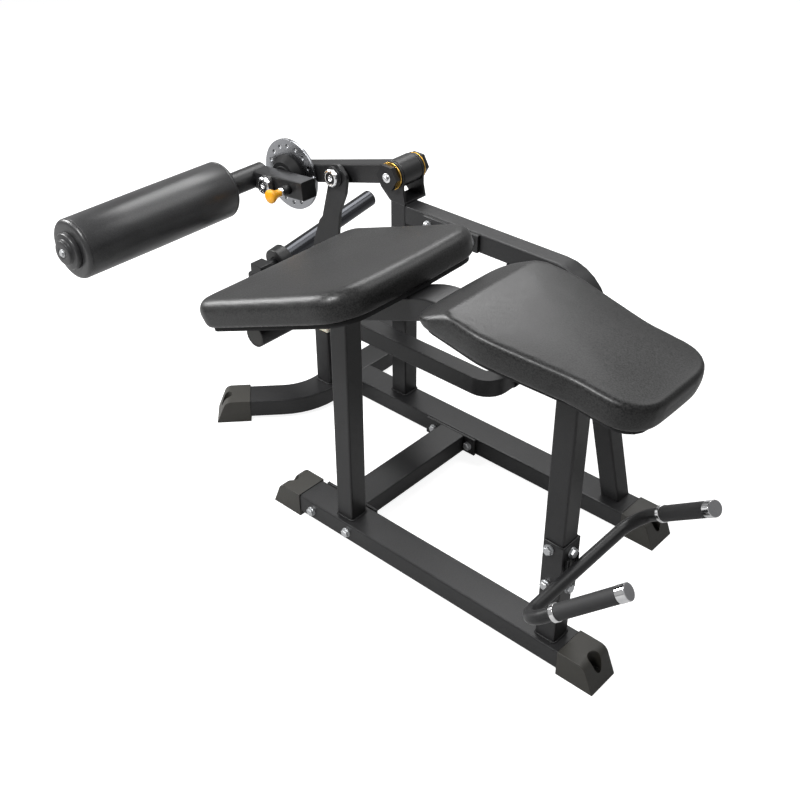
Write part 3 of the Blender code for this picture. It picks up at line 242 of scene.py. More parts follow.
def finished(name, bm, mat, node, edge=0.0, segments=2, limit=40):
    """A piece that takes a node's place, with its edges eased, riding on the node's body."""
    mesh = bpy.data.meshes.new(name)
    bm.to_mesh(mesh)
    bm.free()
    mesh.materials.append(mat)
    mesh.shade_smooth()
    piece = bpy.data.objects.new(name, mesh)
    scene.collection.objects.link(piece)
    if edge:
        ease = piece.modifiers.new("ease", "BEVEL")
        ease.width = edge
        ease.segments = segments
        ease.limit_method = "ANGLE"
        ease.angle_limit = math.radians(limit)
        ease.use_clamp_overlap = True
        level = piece.modifiers.new("level", "WEIGHTED_NORMAL")
        level.mode = "FACE_AREA"
        level.weight = 100
    else:
        mesh.set_sharp_from_angle(angle=math.radians(32))
    settle(piece)
    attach(piece, body_of_node[node])
    return piece


def dressed(node, mat, edge, segments=2):
    """The node's own form, with its hard edges eased by edge metres."""
    bm = merged(node)
    for face in bm.faces:
        face.material_index = 0
    piece = finished(node + "_finish", bm, mat, node, edge, segments)
    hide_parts(node)


for node in (
    "centre_rail",
    "side_rail",
    "cross_member",
    "curved_foot",
    "thigh_post",
    "chest_post",
    "pivot_post",
    "side_tube",
    "stop_post",
    "lever_hanger",
    "pad_spine",
    "movement_arm",
    "roller_lever",
    "weight_lever",
):
    dressed(node, powder, 0.0016, 3)
for node in (
    "cross_flange_near",
    "cross_flange_far",
    "pivot_bracket",
    "link_plate",
    "handle_bracket",
    "pad_cross_tube",
):
    dressed(node, powder, 0.0009)

# Weld beads
# Fillet welds about 5 mm wide join the tubes. Each follows a seam as a row of overlapping
# ripples, and is coated with the frame.


def socket_in(tree, name, kind="NodeSocketFloat"):
    """A named input of a node tree, by its identifier."""
    return tree.interface.new_socket(name=name, in_out="INPUT", socket_type=kind).identifier


def new_tree(name):
    """A Geometry Nodes tree that takes a shape and gives one."""
    tree = bpy.data.node_groups.new(name, "GeometryNodeTree")
    tree.interface.new_socket(name="Geometry", in_out="OUTPUT", socket_type="NodeSocketGeometry")
    socket_in(tree, "Geometry", "NodeSocketGeometry")
    return tree


def set_along(tree, shape, step, size=None):
    """A shape set at even steps along the wire that the tree is given, turned to its run."""
    wire = tree.nodes["Group Input"].outputs["Geometry"]
    curve = add(tree, "GeometryNodeMeshToCurve", None, {"Mesh": wire})
    spaced = {"Curve": curve.outputs[0], "Length": step}
    even = add(tree, "GeometryNodeResampleCurve", {"mode": "LENGTH"}, spaced)
    run = {"Vector": add(tree, "GeometryNodeInputTangent").outputs[0]}
    facing = add(tree, "FunctionNodeAlignRotationToVector", {"axis": "Z"}, run)
    links = {"Points": even.outputs[0], "Instance": shape, "Rotation": facing.outputs[0]}
    if size:
        links["Scale"] = size
    return add(tree, "GeometryNodeInstanceOnPoints", None, links).outputs[0]


def end_tree(tree, shape, coat):
    """The end of a tree: its instances made real, and their material set."""
    real = add(tree, "GeometryNodeRealizeInstances", None, {"Geometry": shape})
    links = {"Geometry": real.outputs[0], "Material": coat}
    coated = add(tree, "GeometryNodeSetMaterial", None, links)
    add(tree, "NodeGroupOutput", None, {"Geometry": coated.outputs[0]})


weld_tree = new_tree("weld_ripples")
weld_width = socket_in(weld_tree, "Bead width")
weld_step = socket_in(weld_tree, "Ripple spacing")
weld_coat = socket_in(weld_tree, "Coat", "NodeSocketMaterial")
given = add(weld_tree, "NodeGroupInput")
ball = add(weld_tree, "GeometryNodeMeshUVSphere", {"Segments": 8, "Rings": 5, "Radius": 0.5})
ripple = add(weld_tree, "GeometryNodeSetShadeSmooth", None, {"Geometry": ball.outputs[0]})
bead = given.outputs["Bead width"]
wide = add(weld_tree, "ShaderNodeCombineXYZ", None, {"X": bead, "Y": bead, "Z": bead})
shorter = {"operation": "MULTIPLY", 1: (1.0, 1.0, 0.72)}
size = add(weld_tree, "ShaderNodeVectorMath", shorter, {0: wide.outputs[0]})
laid = set_along(weld_tree, ripple.outputs[0], given.outputs["Ripple spacing"], size.outputs[0])
end_tree(weld_tree, laid, given.outputs["Coat"])


def grown(name, points, edges, tree, values, body, ways=None):
    """Runs a tree on a wire of points and edges, and leaves a plain mesh on a body."""
    mesh = bpy.data.meshes.new(name)
    mesh.from_pydata(points, edges, [])
    if ways is not None:
        direction = mesh.attributes.new("way", "FLOAT_VECTOR", "POINT")
        for number, way in enumerate(ways):
            direction.data[number].vector = way
    piece = bpy.data.objects.new(name, mesh)
    maker = piece.modifiers.new("maker", "NODES")
    maker.node_group = tree
    for key, value in values.items():
        maker[key] = value
    scene.collection.objects.link(piece)
    settle(piece)
    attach(piece, body)
    return piece


def end_loop(node, top):
    """The outer edge of a standing tube at its upper or lower end, drawn out a little."""
    wall = 0.0022
    out = 0.00105
    inwards = -0.0006 if top else 0.0006
    bm = merged(node)
    ends = {}
    for vert in bm.verts:
        key = (round(vert.co.x, 4), round(vert.co.y, 4))
        ends.setdefault(key, []).append(vert.co.copy())
    bm.free()
    points = [max(group, key=lambda co: co.z if top else -co.z) for group in ends.values()]
    middle = sum(points, Vector()) / len(points)
    far = max(max(abs(p.x - middle.x), abs(p.y - middle.y)) for p in points)
    points = [p for p in points if max(abs(p.x - middle.x), abs(p.y - middle.y)) > far - wall]
    points.sort(key=lambda p: math.atan2(p.y - middle.y, p.x - middle.x))
    moved = []
    for p in points:
        flat = Vector((p.x - middle.x, p.y - middle.y, 0.0)).normalized()
        moved.append(p + flat * out + along_z * inwards)
    return moved


def ring_edges(count, first=0):
    """The edges that close a row of points to a loop."""
    return [(first + i, first + (i + 1) % count) for i in range(count)]


seam_points = []
seam_edges = []
for node, top in (
    ("thigh_post", False),
    ("thigh_post", True),
    ("chest_post", False),
    ("chest_post", True),
    ("pivot_post", False),
    ("stop_post", False),
    ("lever_hanger", True),
):
    loop = end_loop(node, top)
    seam_edges += ring_edges(len(loop), len(seam_points))
    seam_points += loop
grown(
    "frame_weld_beads",
    seam_points,
    seam_edges,
    weld_tree,
    {weld_width: 0.005, weld_step: 0.0018, weld_coat: powder},
    "frame",
)


def inner_corners(node):
    """The open lines where two parts of one welded piece meet, as points and edges."""
    least_bend = 25.0
    room_for_torch = 0.08
    bm = merged(node)
    bm.normal_update()
    walls = BVHTree.FromBMesh(bm)
    places = {}
    points = []
    lines = []
    for edge in bm.edges:
        if len(edge.link_faces) != 2 or edge.is_convex:
            continue
        if math.degrees(edge.calc_face_angle()) < least_bend:
            continue
        out = (edge.link_faces[0].normal + edge.link_faces[1].normal).normalized()
        middle = (edge.verts[0].co + edge.verts[1].co) / 2
        if walls.ray_cast(middle + out * 0.0003, out, room_for_torch)[0] is not None:
            continue
        ends = []
        for vert in edge.verts:
            if vert.index not in places:
                places[vert.index] = len(points)
                points.append(vert.co.copy())
            ends.append(places[vert.index])
        lines.append(tuple(ends))
    bm.free()
    return points, lines


for node in ("movement_arm", "weight_lever", "lever_hanger", "pad_cross_tube"):
    points, lines = inner_corners(node)
    if lines:
        grown(
            node + "_weld_beads",
            points,
            lines,
            weld_tree,
            {weld_width: 0.0042, weld_step: 0.0016, weld_coat: powder},
            body_of_node[node],
        )

# Hex bolts
# Zinc-plated M12 bolts with round washers hold the flanges, the handle bracket and the pad's cross
# tube, and an M8 one holds the roller's cap. Each has a forged hexagon head with a chamfered top.
bolt_tree = new_tree("hex_bolts")
bolt_flats = socket_in(bolt_tree, "Head across flats")
bolt_rise = socket_in(bolt_tree, "Head height")
bolt_washer = socket_in(bolt_tree, "Washer radius")
bolt_plate = socket_in(bolt_tree, "Washer thickness")
bolt_finish = socket_in(bolt_tree, "Plating", "NodeSocketMaterial")
given = add(bolt_tree, "NodeGroupInput")


def share_of(socket, share):
    """A share of one of the bolt's sizes."""
    settings = {"operation": "MULTIPLY", 1: share}
    return add(bolt_tree, "ShaderNodeMath", settings, {0: socket}).outputs[0]


def raised(shape, height):
    """A shape moved up along the bolt."""
    place = add(bolt_tree, "ShaderNodeCombineXYZ", None, {"Z": height})
    links = {"Geometry": shape, "Translation": place.outputs[0]}
    return add(bolt_tree, "GeometryNodeTransform", None, links).outputs[0]


def tapered(sides, lower, upper, height):
    """A prism or a flat-topped cone, from its radius below and above and its height."""
    links = {"Radius Bottom": lower, "Radius Top": upper, "Depth": height}
    return add(bolt_tree, "GeometryNodeMeshCone", {"Vertices": sides}, links).outputs[0]


# The corners of a hexagon lie 0.577 of its width across flats from its middle.
corners = share_of(given.outputs["Head across flats"], 0.57735)
top_corners = share_of(given.outputs["Head across flats"], 0.46)
flank = share_of(given.outputs["Head height"], 0.78)
prism = tapered(6, corners, corners, flank)
chamfer = tapered(6, corners, top_corners, share_of(given.outputs["Head height"], 0.22))
hexagon = add(bolt_tree, "GeometryNodeJoinGeometry", None, {"Geometry": prism})
bolt_tree.links.new(raised(chamfer, flank), hexagon.inputs["Geometry"])
parts = {"Geometry": hexagon.outputs[0]}
forged = add(bolt_tree, "GeometryNodeMergeByDistance", {"Distance": 0.00001}, parts)
washer_radius = given.outputs["Washer radius"]
washer_thick = given.outputs["Washer thickness"]
washer = tapered(36, washer_radius, share_of(washer_radius, 0.96), washer_thick)
both = add(bolt_tree, "GeometryNodeJoinGeometry", None, {"Geometry": washer})
bolt_tree.links.new(raised(forged.outputs[0], washer_thick), both.inputs["Geometry"])

# Each bolt looks along its own way and was tightened to an angle of its own, up to 60 degrees.
way = add(bolt_tree, "GeometryNodeInputNamedAttribute", {"data_type": "FLOAT_VECTOR", "Name": "way"})
facing = add(bolt_tree, "FunctionNodeAlignRotationToVector", {"axis": "Z"}, {"Vector": way.outputs[0]})
turn = add(bolt_tree, "FunctionNodeRandomValue", {"data_type": "FLOAT", "Seed": 4})
turn.inputs[3].default_value = 1.05
up_axis = {"Axis": (0.0, 0.0, 1.0)}
about = add(bolt_tree, "FunctionNodeAxisAngleToRotation", up_axis, {"Angle": turn.outputs[1]})
turns = {"Rotation": facing.outputs[0], "Rotate By": about.outputs[0]}
spun = add(bolt_tree, "FunctionNodeRotateRotation", {"rotation_space": "LOCAL"}, turns)
set_in = add(
    bolt_tree,
    "GeometryNodeInstanceOnPoints",
    None,
    {"Points": given.outputs["Geometry"], "Instance": both.outputs[0], "Rotation": spun.outputs[0]},
)
end_tree(bolt_tree, set_in.outputs[0], given.outputs["Plating"])

# Bright zinc has a pale, faintly blue shine with soft clouds from the bath.
bolt_zinc = surface("bright_zinc_plated_steel", "#c9cbcd", 1.0, 0.24)
grain(bolt_zinc, 900.0, 0.0001, 0.10, ("#adafb1", "#cfd0d1"), (0.36, 0.50))

gap = 0.0001
near_rail_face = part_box("centre_rail")[0].y - gap
far_flange_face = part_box("cross_flange_far")[0].y - gap
near_flange_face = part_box("cross_flange_near")[1].y + gap
far_rail_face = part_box("side_rail")[1].y + gap
bracket_low, bracket_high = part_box("handle_bracket")
bolts = []
near_height = 0.036
far_height = 0.037
for x in (-0.098, 0.019):
    bolts.append((Vector((at(x, 0, 0).x, near_rail_face, near_height)), -along_y))
    bolts.append((Vector((at(x, 0, 0).x, near_flange_face, near_height)), along_y))
    bolts.append((Vector((at(x, 0, 0).x, far_flange_face, far_height)), -along_y))
    bolts.append((Vector((at(x, 0, 0).x, far_rail_face, far_height)), along_y))
bracket_side = at(0.578, 0, 0).x
for z in (0.215, 0.309):
    bolts.append((Vector((bracket_side, bracket_low.y - gap, z)), -along_y))
    bolts.append((Vector((bracket_side, bracket_high.y + gap, z)), along_y))
bracket_face = at(0.6128, 0, 0).x + gap
for z in (0.207, 0.303):
    bolts.append((Vector((bracket_face, home.y, z)), along_x))
flange_thick = 0.008
pad_flange_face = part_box("pad_cross_tube")[1].y - flange_thick - gap
pad_flange_height = 0.607
for x in (-0.151, -0.018):
    bolts.append((Vector((at(x, 0, 0).x, pad_flange_face, pad_flange_height)), -along_y))
m12 = {bolt_flats: 0.018, bolt_rise: 0.0075, bolt_washer: 0.012, bolt_plate: 0.0025, bolt_finish: bolt_zinc}
grown(
    "frame_hex_bolts",
    [place for place, _ in bolts],
    [],
    bolt_tree,
    m12,
    "frame",
    [way for _, way in bolts],
)

# Rubber boots and plugs
# Moulded black rubber shoes pushed over the tube ends, with a pocket in the nose, and plugs in
# the open ends. Rubber from a mould is warm black and matt, with a faint, even mottle.
rubber = surface("moulded_black_rubber", "#33322e", 0.0, 0.62)
grain(rubber, 700.0, 0.0002, 0.18, ("#252420", "#33312c"), (0.44, 0.60))
for node in ("boot_centre_foot", "boot_centre_head", "boot_side_head", "boot_foot_near", "boot_foot_far"):
    dressed(node, rubber, 0.0022, 3)
for node in ("cross_tube_plug", "shaft_plug", "weight_lever_plug", "spine_plug"):
    dressed(node, rubber, 0.0010)

# Bumper
# The stop post ends in a cast polyurethane buffer, on which the movement arm comes to rest. It is
# the colour of bone, lets a little light in and has a soft, uneven shine.
pale = surface("cast_polyurethane", "#cfc8b6", 0.0, 0.5)
grain(pale, 260.0, 0.0003, 0.12, ("#c6bea9", "#d8d2c2"), (0.42, 0.58))
pale.node_tree.nodes["Principled BSDF"].inputs["Subsurface Weight"].default_value = 0.08
dressed("stop_bumper", pale, 0.0018, 3)

# Pad boards
# Each pad is stapled to a plywood board. Thin nonwoven cloth covers the board's back, black and
# quite dull, and the steel crowns of the staples stand round its edge.
cloth = surface("nonwoven_backing_cloth", "#1d1d1e", 0.0, 0.88)
grain(cloth, 620.0, 0.0004, 0.5, ("#171718", "#262627"), (0.8, 0.95))
for node in ("thigh_board", "chest_board"):
    dressed(node, cloth, 0.0012)

staple_tree = new_tree("staples")
staple_wide = socket_in(staple_tree, "Crown width")
staple_wire = socket_in(staple_tree, "Wire size")
staple_step = socket_in(staple_tree, "Spacing")
staple_steel = socket_in(staple_tree, "Steel", "NodeSocketMaterial")
given = add(staple_tree, "NodeGroupInput")
thick = given.outputs["Wire size"]
wire_size = {"X": thick, "Y": thick, "Z": given.outputs["Crown width"]}
wire = add(staple_tree, "ShaderNodeCombineXYZ", None, wire_size)
crown = add(staple_tree, "GeometryNodeMeshCube", None, {"Size": wire.outputs[0]})
driven = set_along(staple_tree, crown.outputs[0], given.outputs["Spacing"])
end_tree(staple_tree, driven, given.outputs["Steel"])


def under_outline(node, inset):
    """The outline of a board's underside, drawn in by inset, a little below the face."""
    bm = merged(node)
    lowest = min(bm.faces, key=lambda face: face.normal.z * face.calc_area())
    points = [vert.co.copy() for vert in lowest.verts]
    normal = lowest.normal.copy()
    bm.free()
    middle = sum(points, Vector()) / len(points)
    return [p + (middle - p).normalized() * inset + normal * 0.0004 for p in points]


for node in ("thigh_board", "chest_board"):
    outline = under_outline(node, 0.012)
    grown(
        node + "_staples",
        outline,
        ring_edges(len(outline)),
        staple_tree,
        {staple_wide: 0.011, staple_wire: 0.0012, staple_step: 0.024, staple_steel: bolt_zinc},
        "frame",
    )

# Cushions
# Dense foam under charcoal vinyl, pulled tight over the board edges. The foam presses the cover
# outwards between them, which is simulated as cloth with a light pressure inside it.

# The vinyl is embossed with cells of about 1 mm, which give it a speckled, broken shine. They are
# drawn two to three times as coarse, so that they show.
vinyl = surface("charcoal_vinyl_upholstery", "#2b2b2c", 0.0, 0.5)
tree = vinyl.node_tree
shader = tree.nodes["Principled BSDF"]
place = {"Vector": add(tree, "ShaderNodeTexCoord").outputs["Object"]}
cells = add(tree, "ShaderNodeTexVoronoi", {"Scale": 620.0, "Randomness": 0.9}, place)
speck = add(tree, "ShaderNodeTexNoise", {"Scale": 340.0, "Detail": 3.0}, place)
clouds = add(tree, "ShaderNodeTexNoise", {"Scale": 7.0, "Detail": 2.0}, place)
mottle = add(
    tree,
    "ShaderNodeMix",
    {"data_type": "FLOAT", 0: 0.15},
    {2: speck.outputs["Fac"], 3: clouds.outputs["Fac"]},
)
spread = add(tree, "ShaderNodeMapRange", {"From Min": 0.34, "From Max": 0.66}, {"Value": mottle.outputs[0]})
tint = add(
    tree,
    "ShaderNodeMix",
    {"data_type": "RGBA", 6: linear("#090909"), 7: linear("#303030")},
    {0: spread.outputs[0]},
)
tree.links.new(tint.outputs[2], shader.inputs["Base Color"])
polish = add(
    tree,
    "ShaderNodeMapRange",
    {"From Min": 0.35, "From Max": 0.65, "To Min": 0.31, "To Max": 0.46},
    {"Value": speck.outputs["Fac"]},
)
tree.links.new(polish.outputs[0], shader.inputs["Roughness"])
height = add(
    tree,
    "ShaderNodeMix",
    {"data_type": "FLOAT", 0: 0.5},
    {2: cells.outputs["Distance"], 3: speck.outputs["Fac"]},
)
bump = add(tree, "ShaderNodeBump", {"Strength": 0.22, "Distance": 0.0004}, {"Height": height.outputs[0]})
tree.links.new(bump.outputs[0], shader.inputs["Normal"])
shader.inputs["Specular IOR Level"].default_value = 0.34


def neighbour_mean(values, edges, rounds):
    """Each vertex's value evened out with its neighbours', some rounds over."""
    count = np.bincount(edges.ravel(), minlength=len(values))[:, None]
    for _ in range(rounds):
        total = np.zeros_like(values)
        np.add.at(total, edges[:, 0], values[edges[:, 1]])
        np.add.at(total, edges[:, 1], values[edges[:, 0]])
        values = 0.5 * values + 0.5 * total / count
    return values


def sewn_edge(piece, up, round_now, round_new, after):
    """Draws the rounded rim of the cushion out to a tighter radius, past the plane of the crease."""
    along, start = after
    blend = 0.02
    inner = round_now - round_new
    normals = np.array([vert.normal[:] for vert in piece.data.vertices])
    edges = np.array([edge.vertices[:] for edge in piece.data.edges])
    normals = neighbour_mean(normals, edges, 6)
    for vert, normal in zip(piece.data.vertices, normals):
        normal = Vector(normal).normalized()
        lift = normal.dot(up)
        past = (vert.co.dot(along) - start) / blend
        if lift < 0.02 or past < 0.0:
            continue
        side = math.sqrt(max(0.0, 1 - lift * lift))
        low, high = sorted((lift, side))
        if low / high < inner / round_now:
            reach = round_now / high
        else:
            reach = inner * (low + high) + math.sqrt(max(0.0, round_new**2 - (inner * (high - low)) ** 2))
        vert.co += normal * (reach - round_now) * min(1.0, past)
    places = np.array([vert.co[:] for vert in piece.data.vertices])
    piece.data.vertices.foreach_set("co", neighbour_mean(places, edges, 2).ravel())


def stuffed(node, held_by, rim=None):
    """A cushion grown from its plain form: remeshed, drawn in and swollen as cloth."""
    slack = 0.0008
    most_swell = 0.0022
    drawn_in_above = 0.004
    stapled_below = 0.006
    mesh = bpy.data.meshes.new(node + "_cushion")
    bm = merged(node)
    bm.to_mesh(mesh)
    bm.free()
    mesh.materials.clear()
    mesh.materials.append(vinyl)
    piece = bpy.data.objects.new(node + "_cushion", mesh)
    scene.collection.objects.link(piece)
    remesh = piece.modifiers.new("remesh", "REMESH")
    remesh.mode = "VOXEL"
    remesh.voxel_size = 0.0052
    even = piece.modifiers.new("even", "SMOOTH")
    even.factor = 0.5
    even.iterations = 3
    settle(piece)
    base, up = held_by
    if rim:
        sewn_edge(piece, up, *rim)
    bm = bmesh.new()
    bm.from_mesh(piece.data)
    bm.normal_update()
    for vert in bm.verts:
        if (vert.co - base).dot(up) > drawn_in_above:
            vert.co -= vert.normal * slack
    bm.to_mesh(piece.data)
    bm.free()
    rest = np.array([vert.co[:] for vert in piece.data.vertices])
    edges = np.array([edge.vertices[:] for edge in piece.data.edges])
    held = piece.vertex_groups.new(name="held")
    height = (rest - np.array(base)) @ np.array(up)
    held.add([int(i) for i in np.flatnonzero(height < stapled_below)], 1.0, "REPLACE")
    cloth = piece.modifiers.new("swell", "CLOTH")
    cloth.settings.quality = 4
    cloth.settings.mass = 0.3
    cloth.settings.tension_stiffness = 30.0
    cloth.settings.compression_stiffness = 30.0
    cloth.settings.bending_stiffness = 3.0
    cloth.settings.use_pressure = True
    cloth.settings.uniform_pressure_force = 4.0
    cloth.settings.vertex_group_mass = "held"
    cloth.settings.effector_weights.gravity = 0.0
    cloth.point_cache.frame_start = 1
    cloth.point_cache.frame_end = 20
    for number in range(1, 21):
        scene.frame_set(number)
    settle(piece)
    moves = np.array([vert.co[:] for vert in piece.data.vertices]) - rest
    longest = np.maximum(np.linalg.norm(moves, axis=1, keepdims=True), 1e-9)
    moves *= np.minimum(1.0, most_swell / longest)
    moves = neighbour_mean(moves, edges, 120)
    piece.data.vertices.foreach_set("co", (rest + moves).ravel())
    scene.frame_set(1)
    finer = piece.modifiers.new("finer", "SUBSURF")
    finer.levels = 1
    finer.render_levels = 1
    settle(piece)
    piece.data.shade_smooth()
    piece.vertex_groups.clear()
    return piece


def board_top(node):
    """A point of the board's upper face, and the way it looks."""
    bm = merged(node)
    highest = max(bm.faces, key=lambda face: face.normal.z * face.calc_area())
    place = highest.calc_center_median()
    normal = highest.normal.copy()
    bm.free()
    return place, normal


chest_base, chest_up = board_top("chest_board")
chest_along = along_y.cross(chest_up).normalized()
chest_foot = min(vert.co.dot(chest_along) for vert in frame["nodes"]["chest_pad"].data.vertices)
chest_crease = chest_foot + 0.078
for cushion_name, held_by, rim in (
    ("thigh_pad", board_top("thigh_board"), None),
    ("chest_pad", (chest_base, chest_up), (0.026, 0.012, (chest_along, chest_crease))),
):
    piece = stuffed(cushion_name, held_by, rim)
    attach(piece, "frame")
    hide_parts(cushion_name)

# Foam roller
# A thick sleeve of closed-cell foam, slid over the roller shaft. Its ends are rounded over and show
# a shallow ring where the skin was trimmed.

# The moulded skin has a broad, soft sheen. Its pores are drawn at about 2 mm so that they show.
foam = surface("skinned_closed_cell_foam", "#2e2e2f", 0.0, 0.58)
foam.node_tree.nodes["Principled BSDF"].inputs["Specular IOR Level"].default_value = 0.55
grain(foam, 420.0, 0.0003, 0.2, ("#1a1a1b", "#333334"), (0.30, 0.40))


def turned(name, node, profile, along, mat, centre=None, steps=72, closed=True, edge=0.0):
    """A profile of (radius, distance) turned about an axis, riding on the node's body."""
    low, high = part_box(node)
    middle = (low + high) / 2 if centre is None else centre
    side = along.cross(along_x if abs(along.x) < 0.7 else along_z).normalized()
    other = along.cross(side).normalized()
    bm = bmesh.new()
    rings = []
    for radius, distance in profile:
        foot = middle + along * distance
        if radius == 0:
            rings.append([bm.verts.new(foot)])
            continue
        turn = [2 * math.pi * i / steps for i in range(steps)]
        rings.append([bm.verts.new(foot + (side * math.cos(a) + other * math.sin(a)) * radius) for a in turn])
    pairs = list(zip(rings, rings[1:]))
    if closed:
        pairs.append((rings[-1], rings[0]))
    for first, second in pairs:
        for i in range(steps):
            j = (i + 1) % steps
            face = [first[i % len(first)], first[j % len(first)]]
            face += [second[j % len(second)], second[i % len(second)]]
            bm.faces.new(list(dict.fromkeys(face)))
    bmesh.ops.recalc_face_normals(bm, faces=bm.faces)
    return finished(name, bm, mat, node, edge, limit=38)


low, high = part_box("foam_roller")
length = high.y - low.y
outer = 0.0753
bore = 0.0306
trim = 0.0105
edge_profile = []
for step in range(9):
    angle = math.radians(90 * step / 8)
    edge_profile.append((outer - trim + trim * math.sin(angle), trim - trim * math.cos(angle)))
half_profile = [(bore, 0.0), (bore + 0.004, -0.0004), (outer - trim - 0.004, -0.0004)] + edge_profile
half_profile += [(outer - 0.0009, trim + 0.0012), (outer - 0.0001, trim + 0.0026)]
middle_profile = [(outer + 0.0003, length * 0.3), (outer + 0.0006, length * 0.5)]
mirrored = [(radius, length - distance) for radius, distance in reversed(half_profile)]
roller_profile = half_profile + middle_profile + [(outer + 0.0003, length * 0.7)] + mirrored
roller_profile = [(radius, distance - length / 2) for radius, distance in roller_profile]
roller = turned("foam_roller_sleeve", "foam_roller", roller_profile, along_y, foam, steps=96)
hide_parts("foam_roller")

# Roller shaft and its end cap
# A coated steel pipe carries the roller. A stepped disc of moulded nylon, smooth and softly
# shining, closes its near end with a zinc bolt, and a flat collar keeps the roller off the lever.
nylon = surface("moulded_black_nylon", "#242425", 0.0, 0.36)
grain(nylon, 500.0, 0.0001, 0.15, ("#202021", "#2b2b2c"), (0.30, 0.44))
low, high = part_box("roller_shaft")
half = (high.y - low.y) / 2
shaft_profile = [(0.027, -half), (0.030, -half), (0.030, half), (0.027, half)]
shaft = turned("roller_shaft_pipe", "roller_shaft", shaft_profile, along_y, powder, edge=0.0006)
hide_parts("roller_shaft")
low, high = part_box("roller_end_cap")
half = (high.y - low.y) / 2
cap_profile = [
    (0.0, half - 0.0117),
    (0.0303, half - 0.0117),
    (0.0303, half),
    (0.0460, half),
    (0.0460, half - 0.0085),
    (0.0435, half - 0.0120),
    (0.0330, half - 0.0135),
    (0.0315, half - 0.0150),
    (0.0302, half - 0.0215),
    (0.0280, half - 0.0232),
    (0.0170, half - 0.0238),
    (0.0150, half - 0.0225),
    (0.0, half - 0.0225),
]
cap = turned(
    "roller_end_cap_moulding",
    "roller_end_cap",
    cap_profile,
    along_y,
    nylon,
    closed=False,
    edge=0.0006,
)
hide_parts("roller_end_cap")
cap_middle = (low + high) / 2
dish_floor = low.y + 0.0015
m8 = {bolt_flats: 0.013, bolt_rise: 0.004, bolt_washer: 0.0105, bolt_plate: 0.0016, bolt_finish: bolt_zinc}
grown(
    "roller_cap_bolt",
    [Vector((cap_middle.x, dish_floor, cap_middle.z))],
    [],
    bolt_tree,
    m8,
    body_of_node["roller_end_cap"],
    [-along_y],
)
low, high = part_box("roller_stop_collar")
half = (high.y - low.y) / 2
collar_profile = [(0.0303, -half), (0.042, -half), (0.042, half), (0.0303, half)]
collar = turned("roller_stop_collar_ring", "roller_stop_collar", collar_profile, along_y, nylon, edge=0.0016)
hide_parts("roller_stop_collar")

# Index disc
# A laser-cut steel disc with sixteen holes. The pull pin drops into one of them to lock the roller
# lever at an angle. The face was turned and then plated, which leaves faint rings round the axis.
# Its mid-grey mirror tone is painted reflection: the plating is coloured darker to stand for the dark
# surround that it mirrors.
# The mid-grey base colour of this plating is painted reflection of a dark surround.
disc_plating_painted_reflection = surface("plated_steel_painted_dark_reflection", "#7c7d80", 1.0, 0.2)
disc_low, disc_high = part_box("index_disc")
disc_middle = (disc_low + disc_high) / 2
tree = disc_plating_painted_reflection.node_tree
shader = tree.nodes["Principled BSDF"]
place = {"Vector": add(tree, "ShaderNodeTexCoord").outputs["Object"]}
centred = add(tree, "ShaderNodeMapping", {"Location": tuple(-disc_middle)}, place)
across_face = {"operation": "MULTIPLY", 1: (1.0, 0.0, 1.0)}
flat = add(tree, "ShaderNodeVectorMath", across_face, {0: centred.outputs[0]})
reach_out = add(tree, "ShaderNodeVectorMath", {"operation": "LENGTH"}, {0: flat.outputs[0]})
rings = add(
    tree,
    "ShaderNodeTexNoise",
    {"noise_dimensions": "1D", "Scale": 420.0, "Detail": 2.0},
    {"W": reach_out.outputs["Value"]},
)
shine = add(tree, "ShaderNodeMapRange", {"To Min": 0.20, "To Max": 0.30}, {"Value": rings.outputs[0]})
tree.links.new(shine.outputs[0], shader.inputs["Roughness"])
# The turning rings move the painted reflection's tone between two greys.
ringed_painted_reflection = add(
    tree,
    "ShaderNodeMix",
    {"data_type": "RGBA", 6: linear("#828386"), 7: linear("#9a9b9e")},
    {0: rings.outputs[0]},
)
tree.links.new(ringed_painted_reflection.outputs[2], shader.inputs["Base Color"])
bump = add(tree, "ShaderNodeBump", {"Strength": 0.04, "Distance": 0.0001}, {"Height": rings.outputs[0]})
tree.links.new(bump.outputs[0], shader.inputs["Normal"])

disc_tree = new_tree("perforated_disc")
disc_radius = socket_in(disc_tree, "Disc radius")
disc_thick = socket_in(disc_tree, "Thickness")
disc_circle = socket_in(disc_tree, "Hole circle radius")
disc_count = socket_in(disc_tree, "Holes", "NodeSocketInt")
disc_hole = socket_in(disc_tree, "Hole radius")
disc_bore = socket_in(disc_tree, "Bore radius")
disc_start = socket_in(disc_tree, "First hole angle")
disc_metal = socket_in(disc_tree, "Plating", "NodeSocketMaterial")
given = add(disc_tree, "NodeGroupInput")
blank = add(
    disc_tree,
    "GeometryNodeMeshCylinder",
    {"Vertices": 128},
    {"Radius": given.outputs["Disc radius"], "Depth": given.outputs["Thickness"]},
)
circle = add(
    disc_tree,
    "GeometryNodeMeshCircle",
    None,
    {"Vertices": given.outputs["Holes"], "Radius": given.outputs["Hole circle radius"]},
)
angle = add(disc_tree, "ShaderNodeCombineXYZ", None, {"Z": given.outputs["First hole angle"]})
started = add(
    disc_tree,
    "GeometryNodeTransform",
    None,
    {"Geometry": circle.outputs[0], "Rotation": angle.outputs[0]},
)
through = {"Vertices": 28, "Depth": 0.05}
drill = add(disc_tree, "GeometryNodeMeshCylinder", through, {"Radius": given.outputs["Hole radius"]})
centre_drill = add(disc_tree, "GeometryNodeMeshCylinder", through, {"Radius": given.outputs["Bore radius"]})
drills = add(
    disc_tree,
    "GeometryNodeInstanceOnPoints",
    None,
    {"Points": started.outputs[0], "Instance": drill.outputs[0]},
)
cut = add(
    disc_tree,
    "GeometryNodeMeshBoolean",
    {"operation": "DIFFERENCE"},
    {"Mesh 1": blank.outputs[0], "Mesh 2": drills.outputs[0]},
)
disc_tree.links.new(centre_drill.outputs[0], cut.inputs["Mesh 2"])
